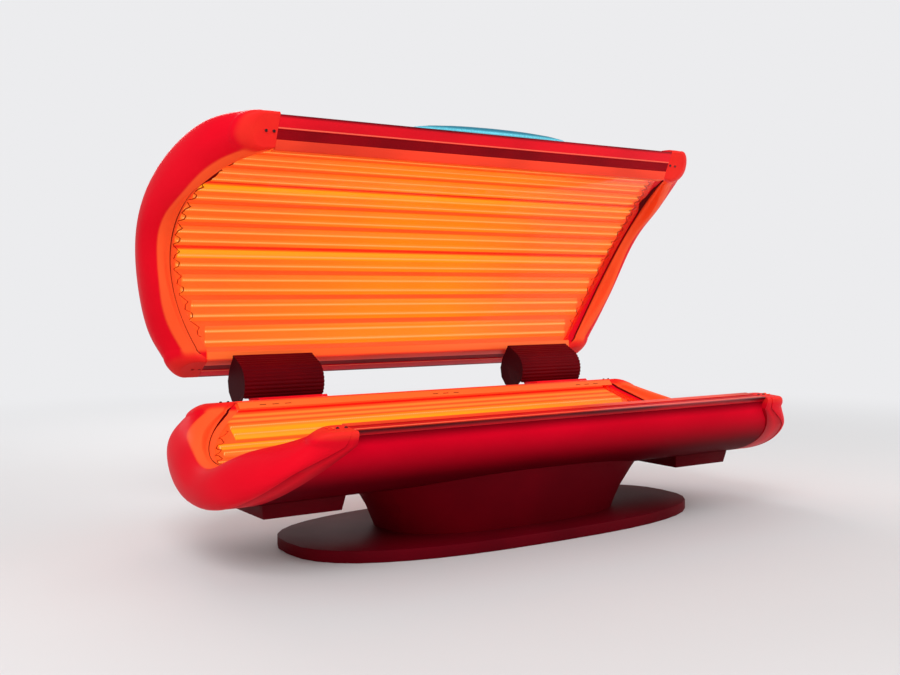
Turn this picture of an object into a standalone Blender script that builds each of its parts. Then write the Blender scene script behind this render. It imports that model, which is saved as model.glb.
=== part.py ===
"""Red light therapy bed: a lay-down trough and a hinged canopy, both lined with LED boards.

Metres, +Z up. X runs along the bed, the open front faces -Y, and the origin is on the
floor under the middle of the base plate. The canopy stands open.
"""

import math
from dataclasses import dataclass

import bmesh
import bpy
from mathutils import Matrix, Vector

# Fits
SEAT_GAP = 0.0003
CAP_JOINT_GAP = 0.0012
STATIONS = 20
SQUARE_FROM = 1 - 2 / STATIONS
ROUND_SIDES = 24
PIN_SIDES = 20

# Floor plate and pedestal
BASE_HALF_LENGTH = 0.865
BASE_HALF_DEPTH = 0.360
BASE_THICKNESS = 0.040
BASE_EDGE_ROUND = 0.014
OVAL_POWER = 2.6
OVAL_POINTS = 40
PEDESTAL_FOOT_HALF_LENGTH = 0.500
PEDESTAL_TOP_HALF_LENGTH = 0.720
PEDESTAL_FOOT_HALF_DEPTH = 0.235
PEDESTAL_TOP_HALF_DEPTH = 0.330
PEDESTAL_WALL = 0.005
PEDESTAL_RINGS = 5
PEDESTAL_POINTS = 30
PEDESTAL_FLARE_POWER = 1.3
PEDESTAL_SADDLE = 0.75

# Bed trough
BED_CENTRE_Y = -0.030
BED_LYING_HEIGHT = 0.300
BED_RADIUS = 0.585
BED_HALF_WIDTH = 0.391
BED_RAIL_INNER = -0.022
BED_RAIL_OUTER = 0.058
BED_LEAN = 36.0
BED_SKIN = 0.105
BED_TIP = 0.885
BED_BOW = 0.192
BED_BOW_POWER = 2.6
BED_CAP_WIDTH = 0.112
BED_CAP_SWELL = 0.024
BED_CAP_FRONT_SHOULDER = 0.014
BED_CAP_REAR_SHOULDER = 0.058
BED_CAP_STEP = 0.008
BED_LIP = 0.022
BED_LIP_WAVE = 0.030
BED_BOARDS = 8
BED_BOARD_PITCH = 0.104

# Canopy trough, placed by its hinge
CANOPY_RADIUS = 0.700
CANOPY_HALF_WIDTH = 0.472
CANOPY_MID_ANGLE = 39.7
CANOPY_RAIL_OUTER = 0.098
CANOPY_LEAN = 27.0
CANOPY_SKIN = 0.124
CANOPY_TIP = BED_TIP
CANOPY_BOW = 0.172
CANOPY_BOW_POWER = 2.0
CANOPY_CAP_WIDTH = 0.112
CANOPY_CAP_SWELL = 0.004
CANOPY_CAP_SHOULDER = 0.034
CANOPY_CAP_STEP = 0.008
CANOPY_LIP = 0.010
CANOPY_LIP_WAVE = 0.028
CANOPY_BOARDS = 10
CANOPY_BOARD_PITCH = 0.101

# Walls shared by both troughs
SKIN_WALL = 0.004
CAP_WALL = 0.004
CAP_FOOT = 0.044
CAP_EQUATOR = 0.045
CAP_CROWN_SHARE = 0.40
CAP_WAIST_SHARE = 0.70
CAP_TIP_ROUND = 0.030
CAP_TIP_SHARE = 0.058
LIP_ROUND = 0.012
ACRYLIC_THICKNESS = 0.005
TRAY_OFFSET = 0.032
TRAY_THICKNESS = 0.002

# Rails
RAIL_WALL = 0.005
RAIL_INNER_LEG = 0.034
RAIL_OUTER_LEG = 0.024
GROOVE_START = 0.036
GROOVE_WIDTH = 0.036
GROOVE_DEPTH = 0.009
STRIP_RECESS = 0.003

# LED boards
BOARD_WIDTH = 0.086
BOARD_THICKNESS = 0.004
LED_ROW_SPACING = 0.040
LED_ROW_WIDTH = 0.012
LED_ROW_HEIGHT = 0.006
BOARD_END_MARGIN = 0.012

# Bed frame
BEAM_WIDTH = 0.040
BEAM_ANGLE = 22.0
BEAM_HALF_LENGTH = BED_TIP - 0.025
CROSS_BAR_THICKNESS = 0.012
CROSS_BAR_WIDTH = 0.050
CROSS_BAR_SPACING = 0.480
CROSS_BARS = 3

# LED driver in the pedestal
DRIVER_SIZE = (0.480, 0.160, 0.070)
DRIVER_EDGE_ROUND = 0.004

# Air boxes and fans
FAN_X = BED_TIP + 0.0075
AIR_BOX_BOTTOM = 0.165
AIR_BOX_HALF_LENGTH = 0.1375
AIR_BOX_HALF_DEPTH = 0.150
AIR_BOX_FLARE = 0.020
AIR_BOX_WALL = 0.004
FAN_OPENING_RADIUS = 0.098
FAN_PLATE_THICKNESS = 0.005
FAN_HUB_RADIUS = 0.032
FAN_SPOKES = 4
FAN_SPOKE_WIDTH = 0.010
FAN_SPOKE_THICKNESS = 0.004
FAN_SPOKE_TURN = 45.0
FAN_STUB_RADIUS = 0.005
FAN_STUB_LENGTH = 0.012
FAN_ROTOR_RADIUS = 0.093
FAN_ROTOR_HEIGHT = 0.020
FAN_BLADES = 7
FAN_BLADE_WIDTH = 0.042
FAN_BLADE_THICKNESS = 0.0025
FAN_BLADE_PITCH = 20.0
FAN_BLADE_ROOT = 0.0256
FAN_HUB_BEVEL = 0.003

# Hinge
HINGE_X = BED_TIP - 0.240
HINGE_BACK = 0.090
HINGE_RISE = 0.056
EDGE_BACK = 0.084
EDGE_RISE = 0.084
CANOPY_SWING = 55.0
HINGE_PIN_RADIUS = 0.012
BRACKET_BASE_HALF_WIDTH = 0.140
BRACKET_BASE_THICKNESS = 0.010
BRACKET_BASE_START = 0.032
BRACKET_OVERHANG = 0.024
BRACKET_CHEEK_ROOT = 0.028
BRACKET_RAIL_CLEARANCE = 0.006
BRACKET_CHEEK_OFFSET = 0.036
BRACKET_CHEEK_THICKNESS = 0.008
BRACKET_BOSS_RADIUS = 0.030
BRACKET_FOOT_RADIUS = 0.0144
BRACKET_FOOT_RISE = 0.050
YOKE_PLATE_OFFSET = 0.064
YOKE_PLATE_THICKNESS = 0.010
YOKE_BOSS_RADIUS = 0.024
YOKE_ARM_RADIUS = 0.016
YOKE_FLANGE_THICKNESS = 0.010
YOKE_FLANGE_START = 0.034
YOKE_FLANGE_END = 0.004
YOKE_LEVER_RADIUS = 0.012
HINGE_COVER_HALF_WIDTH = 0.164
HINGE_COVER_RADIUS = 0.086
HINGE_COVER_PEAK = 0.110
HINGE_COVER_PEAK_ANGLE = 78.0
HINGE_COVER_WALL = 0.005
HINGE_COVER_CHEEK = 0.003
HINGE_COVER_CHEEK_INSET = 0.002
HINGE_COVER_RIBS = 14
HINGE_COVER_RIB_DEPTH = 0.003
HINGE_COVER_ARC_POINTS = 10

# Gas springs
SPRING_OFFSET = 0.110
SPRING_LEVER = 0.055
SPRING_FOOT_DROP = 0.255
SPRING_CYLINDER_RADIUS = 0.011
SPRING_CYLINDER_LENGTH = 0.145
SPRING_ROD_RADIUS = 0.004
SPRING_ROD_CLEARANCE = 0.0004
SPRING_PIN_RADIUS = 0.006
SPRING_EYE_WALL = 0.005
SPRING_EYE_WIDTH = 0.012
SPRING_PIVOT_PLAY = 0.0009
SPRING_ROD_GRIP = 0.050
SPRING_CRIMP = 0.005
SPRING_CRIMP_RADIUS = 0.0088
SPRING_BORE_SPARE = 0.004

# Accent lens on the canopy's front top edge
LENS_HALF_LENGTH = 0.360
LENS_HALF_WIDTH = 0.044
LENS_HEIGHT = 0.026
LENS_SETBACK = 0.006
LENS_ROOT = 0.15
LENS_SIDES = 24
LENS_RINGS = 10

# Finishes: colour, roughness, metallic
FINISHES = {
    "shell_red": ((0.80, 0.025, 0.030), 0.35, 0.0),
    "pan_red": ((0.50, 0.008, 0.016), 0.40, 0.0),
    "base_maroon": ((0.10, 0.003, 0.010), 0.45, 0.0),
    "rail_metal": ((0.78, 0.10, 0.08), 0.35, 0.6),
    "strip_maroon": ((0.06, 0.002, 0.006), 0.30, 0.0),
    "clear_acrylic": ((0.95, 0.80, 0.74), 0.05, 0.0),
    "board_orange": ((0.95, 0.20, 0.05), 0.50, 0.0),
    "tray_metal": ((0.85, 0.30, 0.15), 0.30, 0.8),
    "cover_black": ((0.020, 0.003, 0.005), 0.55, 0.0),
    "steel": ((0.35, 0.33, 0.33), 0.40, 1.0),
    "fan_black": ((0.025, 0.010, 0.012), 0.50, 0.0),
    "lens_cyan": ((0.25, 0.75, 0.85), 0.20, 0.0),
}


def polar(centre, radius, degrees):
    """Point of the YZ plane at a radius and an angle from +Y towards +Z."""
    angle = math.radians(degrees)
    return Vector((centre[0] + radius * math.cos(angle), centre[1] + radius * math.sin(angle)))


def arc(centre, radius, start, end, count):
    """Points of a YZ arc, both ends included."""
    step = (end - start) / (count - 1)
    return [polar(centre, radius, start + step * k) for k in range(count)]


@dataclass
class Trough:
    """A light trough of round section with leaning edges and ends that bow outwards.

    A place on it has t, from -1 to 1 across the section, and an offset, the distance
    behind the user face of the acrylic.
    """

    centre: Vector
    mid: float
    radius: float
    half_width: float
    rail_inner: float
    rail_outer: float
    skin: float
    lean: float
    tip: float
    bow: float
    bow_power: float
    cap_width: float
    cap_swell: float
    low_shoulder: float
    high_shoulder: float
    cap_step: float
    lip: float
    lip_wave: float

    @property
    def lean_rate(self):
        """Degrees by which the edge moves outwards for each metre of offset."""
        return math.degrees(math.tan(math.radians(self.lean)) / self.radius)

    @property
    def half(self):
        """Half angle of the section at the acrylic's user face."""
        corner = math.degrees(math.asin(self.half_width / (self.radius + self.rail_inner)))
        return corner - self.lean_rate * self.rail_inner

    def angle(self, t, offset):
        """Polar angle of a place."""
        return self.mid + t * (self.half + self.lean_rate * offset)

    def yz(self, t, offset):
        """YZ point of a place."""
        return polar(self.centre, self.radius + offset, self.angle(t, offset))

    def t_at(self, point):
        """The t of a YZ point."""
        arm = point - self.centre
        turn = math.degrees(math.atan2(arm.y, arm.x)) - self.mid
        turn = (turn + 180.0) % 360.0 - 180.0
        return turn / (self.half + self.lean_rate * (arm.length - self.radius))

    def end_x(self, t):
        """Half length at t, straight between the stations and square at the rails."""
        place = min(abs(t), 1.0) * STATIONS / 2
        low = min(int(place), STATIONS // 2 - 1)
        shares = [min(k * 2 / STATIONS / SQUARE_FROM, 1.0) for k in (low, low + 1)]
        bows = [1 - share ** self.bow_power for share in shares]
        return self.tip + self.bow * (bows[0] + (bows[1] - bows[0]) * (place - low))

    def edge(self, side):
        """Inner corner, outer corner and inward direction of the edge at t = side."""
        inner = self.yz(side, self.rail_inner)
        outer = self.yz(side, self.rail_outer)
        angle = math.radians(self.angle(side, (self.rail_inner + self.rail_outer) / 2))
        inward = Vector((math.sin(angle), -math.cos(angle))) * side
        return inner, outer, inward

    def edge_point(self, side, along, depth):
        """Point a distance along the edge face from its inner corner and a depth behind it."""
        inner, outer, inward = self.edge(side)
        return inner + (outer - inner).normalized() * along + inward * depth

    def edge_length(self):
        """Width of the edge face."""
        inner, outer, _ = self.edge(1)
        return (outer - inner).length

    def limit(self, offset, depth):
        """The t at which a sheet at an offset stops, a depth behind the edge face."""
        share = (offset - self.rail_inner) / (self.rail_outer - self.rail_inner)
        return self.t_at(self.edge_point(1, share * self.edge_length(), depth))

    def skin_limit(self):
        """The t at which the outer skin meets the rail's outer leg."""
        return self.limit(self.rail_outer, RAIL_OUTER_LEG + SEAT_GAP)

    def skin_offset(self, t):
        """Offset of the skin's outer face, drawn in towards the rails."""
        share = min(abs(t) / self.skin_limit(), 1.0)
        return self.rail_outer + (self.skin - self.rail_outer) * (1 - share ** 6)

    def cap_skin(self, t):
        """Offset of the end cap's outer face, a step above the skin at its tips."""
        tip = self.rail_outer + self.cap_step
        return tip + (self.skin - tip) * (1 - t ** 6)

    def lip_height(self, t):
        """Height of the end cap's lip above the acrylic."""
        return self.lip + self.lip_wave * math.sin(math.pi * t) ** 2

    def cap_reach(self, t):
        """Width of the end cap beyond the acrylic, full at its shoulders and round at its tips."""
        full = self.low_shoulder if t < 0 else self.high_shoulder
        shoulder = full * 6.75 * t ** 4 * (1 - t * t)
        turn = max(0.0, 1 - (1 - abs(t)) / CAP_TIP_SHARE)
        tip = CAP_TIP_ROUND * (1 - math.sqrt(1 - turn * turn))
        return self.cap_width + self.cap_swell * (1 - t * t) + shoulder - tip


BED = Trough(
    Vector((BED_CENTRE_Y, BED_LYING_HEIGHT + BED_RADIUS)), -90.0, BED_RADIUS, BED_HALF_WIDTH,
    BED_RAIL_INNER, BED_RAIL_OUTER, BED_SKIN, BED_LEAN, BED_TIP, BED_BOW, BED_BOW_POWER,
    BED_CAP_WIDTH, BED_CAP_SWELL, BED_CAP_FRONT_SHOULDER, BED_CAP_REAR_SHOULDER, BED_CAP_STEP,
    BED_LIP, BED_LIP_WAVE)
BED_FRONT, BED_REAR = -1, 1
CANOPY_REAR, CANOPY_FRONT = -1, 1

HINGE = BED.edge(BED_REAR)[1] + Vector((HINGE_BACK, HINGE_RISE))


def leg_stand():
    """Height of the canopy rail's straight inner leg over the round acrylic behind it."""
    facet = math.asin(CANOPY_HALF_WIDTH / CANOPY_RADIUS) / STATIONS
    lean = math.tan(math.radians(CANOPY_LEAN)) / CANOPY_RADIUS * (CANOPY_RAIL_OUTER + RAIL_WALL) / 2
    bend = RAIL_INNER_LEG * lean + RAIL_INNER_LEG ** 2 / (2 * CANOPY_RADIUS)
    return RAIL_WALL + bend + CANOPY_RADIUS * (1 - math.cos(facet)) + 2 * SEAT_GAP


def place_canopy():
    """Canopy trough whose rear inner corner lies at its place from the hinge axis."""
    trough = Trough(
        Vector((0, 0)), CANOPY_MID_ANGLE, CANOPY_RADIUS, CANOPY_HALF_WIDTH, -leg_stand(),
        CANOPY_RAIL_OUTER, CANOPY_SKIN, CANOPY_LEAN, CANOPY_TIP, CANOPY_BOW, CANOPY_BOW_POWER,
        CANOPY_CAP_WIDTH, CANOPY_CAP_SWELL, CANOPY_CAP_SHOULDER, CANOPY_CAP_SHOULDER,
        CANOPY_CAP_STEP, CANOPY_LIP, CANOPY_LIP_WAVE)
    trough.centre = HINGE + Vector((EDGE_BACK, EDGE_RISE)) - trough.edge(CANOPY_REAR)[0]
    return trough


CANOPY = place_canopy()


class Workshop:
    """Collections, materials and parents of the model."""

    def __init__(self):
        for item in list(bpy.data.objects):
            bpy.data.objects.remove(item, do_unlink=True)
        self.parts = self.collection("red_light_therapy_bed")
        self.tools = self.collection("cutters")
        self.finishes = {name: self.finish(name, *look) for name, look in FINISHES.items()}
        self.pivot = bpy.data.objects.new("canopy_pivot", None)
        self.pivot.location = (0, HINGE.x, HINGE.y)
        self.parts.objects.link(self.pivot)

    @staticmethod
    def collection(name):
        """New collection in the scene."""
        group = bpy.data.collections.new(name)
        bpy.context.scene.collection.children.link(group)
        return group

    @staticmethod
    def finish(name, colour, roughness, metallic):
        """Principled material."""
        material = bpy.data.materials.new(name)
        material.use_nodes = True
        shader = material.node_tree.nodes["Principled BSDF"]
        shader.inputs["Base Color"].default_value = (*colour, 1.0)
        shader.inputs["Roughness"].default_value = roughness
        shader.inputs["Metallic"].default_value = metallic
        return material

    def part(self, item, finish, moving=False):
        """Make an object a named part of the model."""
        self.parts.objects.link(item)
        item.data.materials.clear()
        item.data.materials.append(self.finishes[finish])
        item.data.shade_smooth()
        item.data.set_sharp_from_angle(angle=math.radians(30))
        if moving:
            item.parent = self.pivot
            item.matrix_parent_inverse = Matrix.Translation(self.pivot.location).inverted()
        return item

    def tool(self, item):
        """Make an object a hidden cutter or joined body."""
        self.tools.objects.link(item)
        item.hide_render = True
        item.display_type = "WIRE"
        return item

    def combine(self, item, others, operation):
        """Boolean the others into an object, in order."""
        for other in others:
            change = item.modifiers.new(operation.lower(), "BOOLEAN")
            change.operation = operation
            change.object = self.tool(other)
        return item


def from_bmesh(name, bm):
    """Object that holds a finished bmesh."""
    mesh = bpy.data.meshes.new(name)
    bm.to_mesh(mesh)
    bm.free()
    return bpy.data.objects.new(name, mesh)


def extrusion(name, outlines, low, high, axis):
    """Flat outlines, holes after the first, extruded along X or Z between two places.

    An outline along X holds YZ points, one along Z holds XY points.
    """
    curve = bpy.data.curves.new(name, "CURVE")
    curve.dimensions = "2D"
    curve.fill_mode = "BOTH"
    curve.extrude = (high - low) / 2
    for outline in outlines:
        spline = curve.splines.new("POLY")
        spline.points.add(len(outline) - 1)
        for place, point in zip(spline.points, outline):
            place.co = (point[0], point[1], 0, 1)
        spline.use_cyclic_u = True
    drawn = bpy.data.objects.new(name, curve)
    turn = Matrix.Rotation(math.pi / 2, 4, "Z") @ Matrix.Rotation(math.pi / 2, 4, "X")
    shift = Matrix.Translation(Vector((0, 0, (low + high) / 2)))
    frame = turn @ shift if axis == "X" else shift
    bpy.context.scene.collection.objects.link(drawn)
    evaluated = drawn.evaluated_get(bpy.context.evaluated_depsgraph_get())
    bm = bmesh.new()
    mesh = bpy.data.meshes.new_from_object(evaluated)
    bm.from_mesh(mesh)
    bpy.data.meshes.remove(mesh)
    bpy.data.objects.remove(drawn)
    bmesh.ops.remove_doubles(bm, verts=bm.verts, dist=1e-6)
    bm.transform(frame)
    bmesh.ops.recalc_face_normals(bm, faces=bm.faces)
    if bm.calc_volume(signed=True) < 0:
        bmesh.ops.reverse_faces(bm, faces=bm.faces)
    return from_bmesh(name, bm)


def cylinder(name, start, axis, radius, length, sides=ROUND_SIDES):
    """Closed cylinder from a start point along X or Z."""
    bm = bmesh.new()
    bmesh.ops.create_cone(
        bm, cap_ends=True, segments=sides, radius1=radius, radius2=radius, depth=length)
    turn = Matrix.Rotation(math.pi / 2, 4, "Y") if axis == "X" else Matrix()
    half = Vector((length / 2, 0, 0)) if axis == "X" else Vector((0, 0, length / 2))
    bm.transform(Matrix.Translation(Vector(start) + half) @ turn)
    return from_bmesh(name, bm)


def block(name, size, centre):
    """Box of a size about a centre."""
    bm = bmesh.new()
    bmesh.ops.create_cube(bm, size=1.0)
    bmesh.ops.scale(bm, vec=size, verts=bm.verts)
    bmesh.ops.translate(bm, vec=centre, verts=bm.verts)
    return from_bmesh(name, bm)


def turned(name, profile, centre, sides=ROUND_SIDES):
    """Solid of revolution about a vertical axis from (radius, height) points."""
    mesh = bpy.data.meshes.new(name)
    edges = [(k, k + 1) for k in range(len(profile) - 1)]
    mesh.from_pydata([(radius, 0, height) for radius, height in profile], edges, [])
    item = bpy.data.objects.new(name, mesh)
    item.location = centre
    screw = item.modifiers.new("turn", "SCREW")
    screw.steps = sides
    screw.render_steps = sides
    screw.use_merge_vertices = True
    screw.merge_threshold = 1e-5
    return item


def loft(sections, closed):
    """Bmesh skin between sections of equal count."""
    bm = bmesh.new()
    rows = [[bm.verts.new(point) for point in section] for section in sections]
    count = len(rows[0])
    for row, following in zip(rows, rows[1:]):
        for k in range(count if closed else count - 1):
            after = (k + 1) % count
            bm.faces.new((row[k], row[after], following[after], following[k]))
    return bm, rows


def face_along(bm, face, direction):
    """Turn all faces of an open skin so that one of them looks along a direction."""
    bm.normal_update()
    if face.normal.dot(Vector(direction)) < 0:
        bmesh.ops.reverse_faces(bm, faces=bm.faces)
        bm.normal_update()


def thicken(item, thickness, offset):
    """Give an open skin a wall, to the front of its faces (1) or behind them (-1)."""
    wall = item.modifiers.new("wall", "SOLIDIFY")
    wall.thickness = thickness
    wall.offset = offset
    wall.use_even_offset = True
    wall.use_quality_normals = True
    return item


def round_edges(item, width, segments):
    """Round the sharp edges of an object."""
    bevel = item.modifiers.new("round", "BEVEL")
    bevel.width = width
    bevel.segments = segments
    bevel.limit_method = "ANGLE"
    bevel.angle_limit = math.radians(40)
    return item


def stations(low, high):
    """Stations of t between two limits, both limits included."""
    inner = [k * 2 / STATIONS - 1 for k in range(STATIONS + 1)]
    return [low] + [t for t in inner if low + 1e-4 < t < high - 1e-4] + [high]


def sheet(name, trough, offset, thickness, low, high):
    """Curved sheet between the end caps; offset gives its user face at t."""
    places = stations(low, high)
    rows = len(places) - 1
    bm = bmesh.new()
    bmesh.ops.create_grid(bm, x_segments=1, y_segments=rows, size=0.5)
    for vert in bm.verts:
        t = places[round((vert.co.y + 0.5) * rows)]
        point = trough.yz(t, offset(t))
        vert.co = (math.copysign(trough.end_x(t) - CAP_JOINT_GAP, vert.co.x), point.x, point.y)
    bm.faces.ensure_lookup_table()
    face = bm.faces[rows // 2]
    middle = face.calc_center_median()
    face_along(bm, face, (0, middle.y - trough.centre.x, middle.z - trough.centre.y))
    return thicken(from_bmesh(name, bm), thickness, 1)


def oval(half_length, half_depth, count):
    """Superellipse points about the origin."""
    points = []
    for k in range(count):
        turn = 2 * math.pi * k / count
        across, along = math.cos(turn), math.sin(turn)
        points.append((
            half_length * math.copysign(abs(across) ** (2 / OVAL_POWER), across),
            half_depth * math.copysign(abs(along) ** (2 / OVAL_POWER), along)))
    return points


def link(start, start_radius, end, end_radius, count=8):
    """Outline of the hull of two circles in the YZ plane."""
    span = end - start
    heading = math.degrees(math.atan2(span.y, span.x))
    open_angle = math.degrees(math.acos((start_radius - end_radius) / span.length))
    return (arc(start, start_radius, heading + open_angle, heading + 360 - open_angle, count)
            + arc(end, end_radius, heading - open_angle, heading + open_angle, count))


def ring(centre, radius, count=ROUND_SIDES):
    """Circle points in the YZ plane."""
    return [polar(centre, radius, 360 * k / count) for k in range(count)]


def skin_block(name, trough, clearance):
    """Solid that fills a trough out to a clearance beyond its skin."""
    reach = trough.tip + trough.bow + trough.cap_width + trough.cap_swell
    outline = [trough.yz(t, trough.skin_offset(t) + clearance) for t in stations(-1, 1)]
    return extrusion(name, [outline], -reach, reach, "X")


def end_cap(shop, name, trough, side, finish, moving):
    """Moulded end of a trough: lip, rolled outer side and return under the skin."""
    sections = []
    rounding = 1 - CAP_TIP_SHARE / 3
    for t in sorted(stations(-1, 1) + [-rounding, rounding]):
        lip = trough.lip_height(t)
        width = trough.cap_reach(t)
        skin = trough.cap_skin(t)
        crown, waist = CAP_CROWN_SHARE * width, CAP_WAIST_SHARE * width
        profile = [(0, CAP_FOOT), (0, ACRYLIC_THICKNESS), (0, LIP_ROUND - lip),
                   (LIP_ROUND / 4, LIP_ROUND / 4 - lip), (LIP_ROUND, -lip)]
        for turn in (90, 60, 30, 0):
            swing = math.radians(turn)
            profile.append((crown + (width - crown) * math.cos(swing),
                            CAP_EQUATOR - (CAP_EQUATOR + lip) * math.sin(swing)))
        for turn in (30, 60, 90):
            swing = math.radians(turn)
            profile.append((waist + (width - waist) * math.cos(swing),
                            CAP_EQUATOR + (skin - CAP_EQUATOR) * math.sin(swing)))
        profile.append((0, skin))
        base = trough.end_x(t)
        points = [(reach, trough.yz(t, offset)) for reach, offset in profile]
        sections.append([(side * (base + reach), spot.x, spot.y) for reach, spot in points])
    bm, rows = loft(sections, closed=False)
    for row in (rows[0], list(reversed(rows[-1]))):
        bm.faces.new(row)
    bmesh.ops.recalc_face_normals(bm, faces=bm.faces)
    outermost = max(bm.faces, key=lambda face: side * face.calc_center_median().x)
    face_along(bm, outermost, (side, 0, 0))
    return shop.part(thicken(from_bmesh(name, bm), CAP_WALL, -1), finish, moving)


def rail(shop, name, trough, edge, finish, moving):
    """Grooved channel along an edge."""
    width = trough.edge_length()
    groove_end = GROOVE_START + GROOVE_WIDTH
    web = GROOVE_DEPTH + RAIL_WALL
    outline = [(0, 0), (GROOVE_START, 0), (GROOVE_START, GROOVE_DEPTH), (groove_end, GROOVE_DEPTH),
               (groove_end, 0), (width, 0), (width, RAIL_OUTER_LEG),
               (width - RAIL_WALL, RAIL_OUTER_LEG), (width - RAIL_WALL, web), (RAIL_WALL, web),
               (RAIL_WALL, RAIL_INNER_LEG), (0, RAIL_INNER_LEG)]
    points = [trough.edge_point(edge, along, depth) for along, depth in outline]
    reach = trough.tip - SEAT_GAP
    return shop.part(extrusion(name, [points], -reach, reach, "X"), finish, moving)


def strip(shop, name, trough, edge, finish, moving):
    """Dark strip that fills a rail's groove."""
    low = GROOVE_START + SEAT_GAP
    high = GROOVE_START + GROOVE_WIDTH - SEAT_GAP
    bottom = GROOVE_DEPTH - SEAT_GAP
    outline = [(low, STRIP_RECESS), (high, STRIP_RECESS), (high, bottom), (low, bottom)]
    points = [trough.edge_point(edge, along, depth) for along, depth in outline]
    reach = trough.tip - SEAT_GAP
    return shop.part(extrusion(name, [points], -reach, reach, "X"), finish, moving)


def led_boards(shop, prefix, trough, count, pitch, moving):
    """Boards with two raised rows of diodes, side by side on the tray."""
    half = BOARD_WIDTH / 2
    outline = [(-half, 0), (half, 0), (half, BOARD_THICKNESS)]
    for row in (LED_ROW_SPACING / 2, -LED_ROW_SPACING / 2):
        top = BOARD_THICKNESS + LED_ROW_HEIGHT
        low, high = row - LED_ROW_WIDTH / 2, row + LED_ROW_WIDTH / 2
        outline += [(high, BOARD_THICKNESS), (high, top), (low, top), (low, BOARD_THICKNESS)]
    outline.append((-half, BOARD_THICKNESS))
    facet = math.radians(trough.half / STATIONS)
    tray_radius = (trough.radius + TRAY_OFFSET) * math.cos(facet) - SEAT_GAP
    back = math.sqrt(tray_radius ** 2 - half ** 2)
    for k in range(count):
        swing = math.degrees((k - (count - 1) / 2) * pitch / back)
        out = polar((0, 0), 1, trough.mid + swing)
        across = Vector((-out.y, out.x))
        points = [trough.centre + across * u + out * (back - v) for u, v in outline]
        outer = max(points, key=lambda point: abs(trough.t_at(point)))
        reach = trough.end_x(trough.t_at(outer)) - BOARD_END_MARGIN
        item = extrusion(f"{prefix}_led_board_{k + 1}", [points], -reach, reach, "X")
        shop.part(item, "board_orange", moving)


def light_field(shop, prefix, trough, boards, pitch, moving):
    """Acrylic, tray and boards of a trough."""
    under_web = GROOVE_DEPTH + RAIL_WALL + SEAT_GAP
    edge = trough.limit(0, under_web)
    acrylic = sheet(f"{prefix}_acrylic", trough, lambda t: 0.0, ACRYLIC_THICKNESS, -edge, edge)
    shop.part(acrylic, "clear_acrylic", moving)
    edge = trough.limit(TRAY_OFFSET, under_web)
    tray = sheet(f"{prefix}_reflector", trough, lambda t: TRAY_OFFSET, TRAY_THICKNESS, -edge, edge)
    shop.part(tray, "tray_metal", moving)
    led_boards(shop, prefix, trough, boards, pitch, moving)


def skin_face(trough):
    """User-side offset of the outer skin at t."""
    return lambda t: trough.skin_offset(t) - SKIN_WALL


def base_and_pedestal(shop):
    """Oval floor plate, tapered pedestal and the driver inside it."""
    plate = extrusion(
        "base_plate", [oval(BASE_HALF_LENGTH, BASE_HALF_DEPTH, OVAL_POINTS)], 0, BASE_THICKNESS, "Z")
    shop.part(round_edges(plate, BASE_EDGE_ROUND, 2), "base_maroon")
    foot = BASE_THICKNESS + SEAT_GAP
    top = BED.yz(PEDESTAL_SADDLE, BED.skin_offset(PEDESTAL_SADDLE)).y
    rings = []
    for k in range(PEDESTAL_RINGS):
        share = k / (PEDESTAL_RINGS - 1)
        grow = share ** PEDESTAL_FLARE_POWER
        length = PEDESTAL_FOOT_HALF_LENGTH
        length += (PEDESTAL_TOP_HALF_LENGTH - PEDESTAL_FOOT_HALF_LENGTH) * grow
        depth = PEDESTAL_FOOT_HALF_DEPTH
        depth += (PEDESTAL_TOP_HALF_DEPTH - PEDESTAL_FOOT_HALF_DEPTH) * grow
        height = foot + (top - foot) * share
        centre = BED_CENTRE_Y * grow
        rings.append([(x, centre + y, height) for x, y in oval(length, depth, PEDESTAL_POINTS)])
    bm, _ = loft(rings, closed=True)
    bm.faces.ensure_lookup_table()
    face_along(bm, bm.faces[0], (1, 0, 0))
    pedestal = thicken(from_bmesh("pedestal", bm), PEDESTAL_WALL, -1)
    shop.combine(pedestal, [skin_block("bed_clearance_pedestal", BED, SEAT_GAP)], "DIFFERENCE")
    shop.part(pedestal, "pan_red")
    length, depth, height = DRIVER_SIZE
    driver = block("led_driver", (length, depth, height), (0, 0, foot + height / 2))
    shop.part(round_edges(driver, DRIVER_EDGE_ROUND, 2), "steel")


def bed_frame(shop):
    """Two long beams between tray and pans, tied by cross bars."""
    tray_back = BED.radius + TRAY_OFFSET + TRAY_THICKNESS + SEAT_GAP
    facet = math.cos(math.radians(BED.half / STATIONS))
    pan_inner = (BED.radius + BED.skin_offset(0.5) - SKIN_WALL) * facet - SEAT_GAP
    beams = []
    for sign in (-1, 1):
        out = polar((0, 0), 1, -90 + sign * BEAM_ANGLE)
        across = Vector((-out.y, out.x)) * BEAM_WIDTH / 2
        outer = math.sqrt(pan_inner ** 2 - (BEAM_WIDTH / 2) ** 2)
        corners = [out * tray_back - across, out * outer - across, out * outer + across,
                   out * tray_back + across]
        points = [BED.centre + corner for corner in corners]
        beams.append(extrusion(f"beam_{sign}", [points], -BEAM_HALF_LENGTH, BEAM_HALF_LENGTH, "X"))
    frame = beams[0]
    frame.name = "bed_frame"
    reach = tray_back * math.sin(math.radians(BEAM_ANGLE))
    under_tray = BED.centre.y - tray_back - SEAT_GAP
    height = under_tray - CROSS_BAR_THICKNESS / 2
    bars = []
    for k in range(CROSS_BARS):
        size = (CROSS_BAR_WIDTH, reach + reach, CROSS_BAR_THICKNESS)
        place = (k - (CROSS_BARS - 1) / 2) * CROSS_BAR_SPACING
        bars.append(block(f"cross_bar_{k}", size, (place, BED_CENTRE_Y, height)))
    shop.combine(frame, bars + beams[1:], "UNION")
    shop.part(frame, "steel")


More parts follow.
